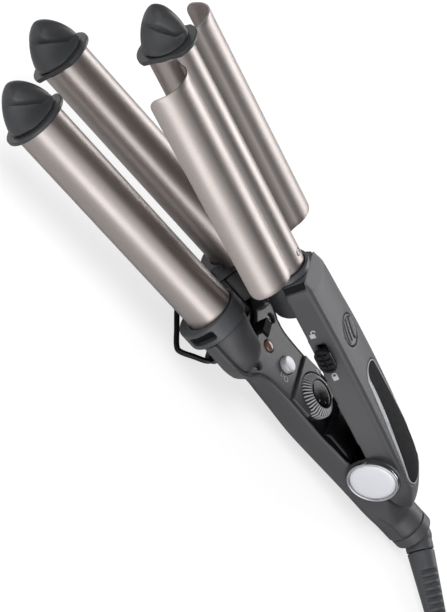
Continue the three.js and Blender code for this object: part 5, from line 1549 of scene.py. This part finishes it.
# Lower arm
piece(lower_casing(), "lower_casing_shell", "lower_arm", "satin_charcoal", SATIN, "lower_casing", sharp=60)
piece(control_deck(), "control_panel", "lower_arm", "satin_charcoal", SATIN, "control_deck", sharp=60)
piece(dial_deck(), "dial_panel", "lower_arm", "satin_charcoal", SATIN, "dial_deck", sharp=60)
piece(spring_cover(), "gloss_inlay", "lower_arm", "gloss_black", GLOSS, "spring_cover")
# Bridge between the barrels: nylon darkened as painted shade
piece(barrel_bridge(), "ribbed_bridge", "lower_arm", "tip_grey", SHADE_AND_SEAM_NYLON, "barrel_bridge", sharp=60)
piece(tail_ring(), "tail_band", "lower_arm", "tip_grey", SATIN, "tail_ring")
piece(panel_seam(), "panel_seam", "lower_arm", "satin_charcoal", SHADE_AND_SEAM_NYLON)
for word, side in (("front", -1), ("rear", 1)):
    y = side * BARREL_Y
    flats = [span(side, 0, CENTRE_ROOM)]
    piece(barrel(BARREL_R, BARREL_TIP_X, BARREL_END_X, y), f"{word}_tube", "lower_arm", "titanium_barrel",
          TITANIUM_LOWER, f"{word}_barrel")
    piece(tip_cap(BARREL_R, FLANGE_R, TIP_R, BARREL_TIP_X, y, flats, TIP_ROLL), f"{word}_cool_tip",
          "lower_arm", "tip_grey", TIP_NYLON, f"{word}_tip_cap")
    piece(collar(side), f"{word}_barrel_collar", "lower_arm", "tip_grey", NYLON, f"{word}_collar", sharp=60)
    # Black sheet in each collar's oblong recess: painted shade
    piece(slot_shade(side), f"{word}_slot_shade", "lower_arm", "tip_grey", ACETAL_AND_SHADE)
    piece(pivot_rim(side), f"{word}_hinge_rim", "lower_arm", "chrome_trim", CHROME, f"{word}_pivot_rim")
    piece(hinge_washer(side), f"{word}_hinge_washer", "lower_arm", "gloss_black", SHADE_AND_SEAM_NYLON)
    piece(pivot_cap(side), f"{word}_hinge_cap", "lower_arm", "pearl_silver", PEARL, f"{word}_pivot_cap")
    piece(screw(SCREW_X, side * SCREW_Y, DECK_Z - SCREW_SINK), f"{word}_panel_screw", "lower_arm", "steel",
          STEEL, f"{word}_deck_screw")
    piece(wing(side), f"{word}_clamp_shell", "upper_arm", "titanium_barrel", TITANIUM_UPPER, f"{word}_wing")
piece(lamp(), "lamp_lens", "lower_arm", "amber_lamp", AMBER, "indicator_lamp")
piece(deck_marks(), "deck_marks", "lower_arm", "pearl_silver", INK)
piece(round_button(), "round_button", "button", "chrome_trim", PEARL, "power_button")
skirt, skirt_ribs = dial_skirt()
# Dial skirt under the upper arm: nylon darkened as painted shade
piece(skirt, "dial_skirt", "dial", "gloss_black", SHADE_AND_SEAM_NYLON, "temperature_dial", sharp=50)
piece(skirt_ribs, "dial_ribs", "dial", "gloss_black", ACRYLIC)
piece(dial_numbers(), "dial_numbers", "dial", "pearl_silver", INK)
piece(dial_top(), "dial_top", "dial", "gloss_black", GLOSS)

# Upper arm
piece(barrel(CENTRE_R, CENTRE_TIP_X, CENTRE_END_X, 0), "centre_tube", "upper_arm", "titanium_barrel",
      TITANIUM_UPPER, "centre_barrel")
piece(tip_cap(CENTRE_R, CENTRE_FLANGE_R, CENTRE_TIP_R, CENTRE_TIP_X, 0,
              [span(side, CENTRE_R + 0.1, BEYOND) for side in (-1, 1)], CENTRE_TIP_ROLL),
      "centre_cool_tip", "upper_arm", "tip_grey", TIP_NYLON, "centre_tip_cap")
piece(upper_casing(), "upper_casing_shell", "upper_arm", "satin_charcoal", SATIN, "upper_casing", sharp=60)
# Black liner behind the ring: painted shade
piece(front_shade_band(), "front_shade_band", "upper_arm", "tip_grey", ACETAL_AND_SHADE)
screw_head, screw_rim = barrel_screw()
piece(screw_head, "barrel_screw_head", "upper_arm", "steel", STEEL)
piece(screw_rim, "barrel_screw_rim", "upper_arm", "tip_grey", SHADE_AND_SEAM_NYLON)
# Seat under the upper arm: nylon darkened as painted shade
piece(barrel_seat(), "rounded_seat", "upper_arm", "satin_charcoal", SHADE_AND_SEAM_NYLON, "barrel_seat", sharp=60)
piece(centre_ring(), "centre_collar", "upper_arm", "tip_grey", NYLON, "centre_ring")
piece(vent_insert(), "slotted_vent", "upper_arm", "satin_charcoal", NYLON, "vent_insert")
piece(badge_plate(), "bare_badge", "upper_arm", "gloss_black", FILM, "badge_plate", sharp=50)
piece(badge_rim(), "badge_edge", "upper_arm", "chrome_trim", SATIN_CHROME, "badge_rim", sharp=50)
piece(lock_slider(), "ribbed_slider", "lock", "satin_charcoal", GLOSS, "lock_slider", sharp=60)
for word, x, z, lifted in (("open", -85.5, 4.6, 0.9), ("shut", -61.2, 5.8, 0)):
    piece(padlock(x, z, lifted), f"{word}_padlock_mark", "upper_arm", "pearl_silver", INK)

# Stand and swivel
piece(stand_wire(), "wire_stand", "stand", "black_wire", BLACK_WIRE, "stand_wire")
piece(swivel_knuckle(), "cord_knuckle", "swivel", "tip_grey", SLEEVE_PVC, "swivel_knuckle", sharp=60)
piece(cord_sleeve(), "windowed_sleeve", "swivel", "cord_black", SLEEVE_PVC, "cord_sleeve")
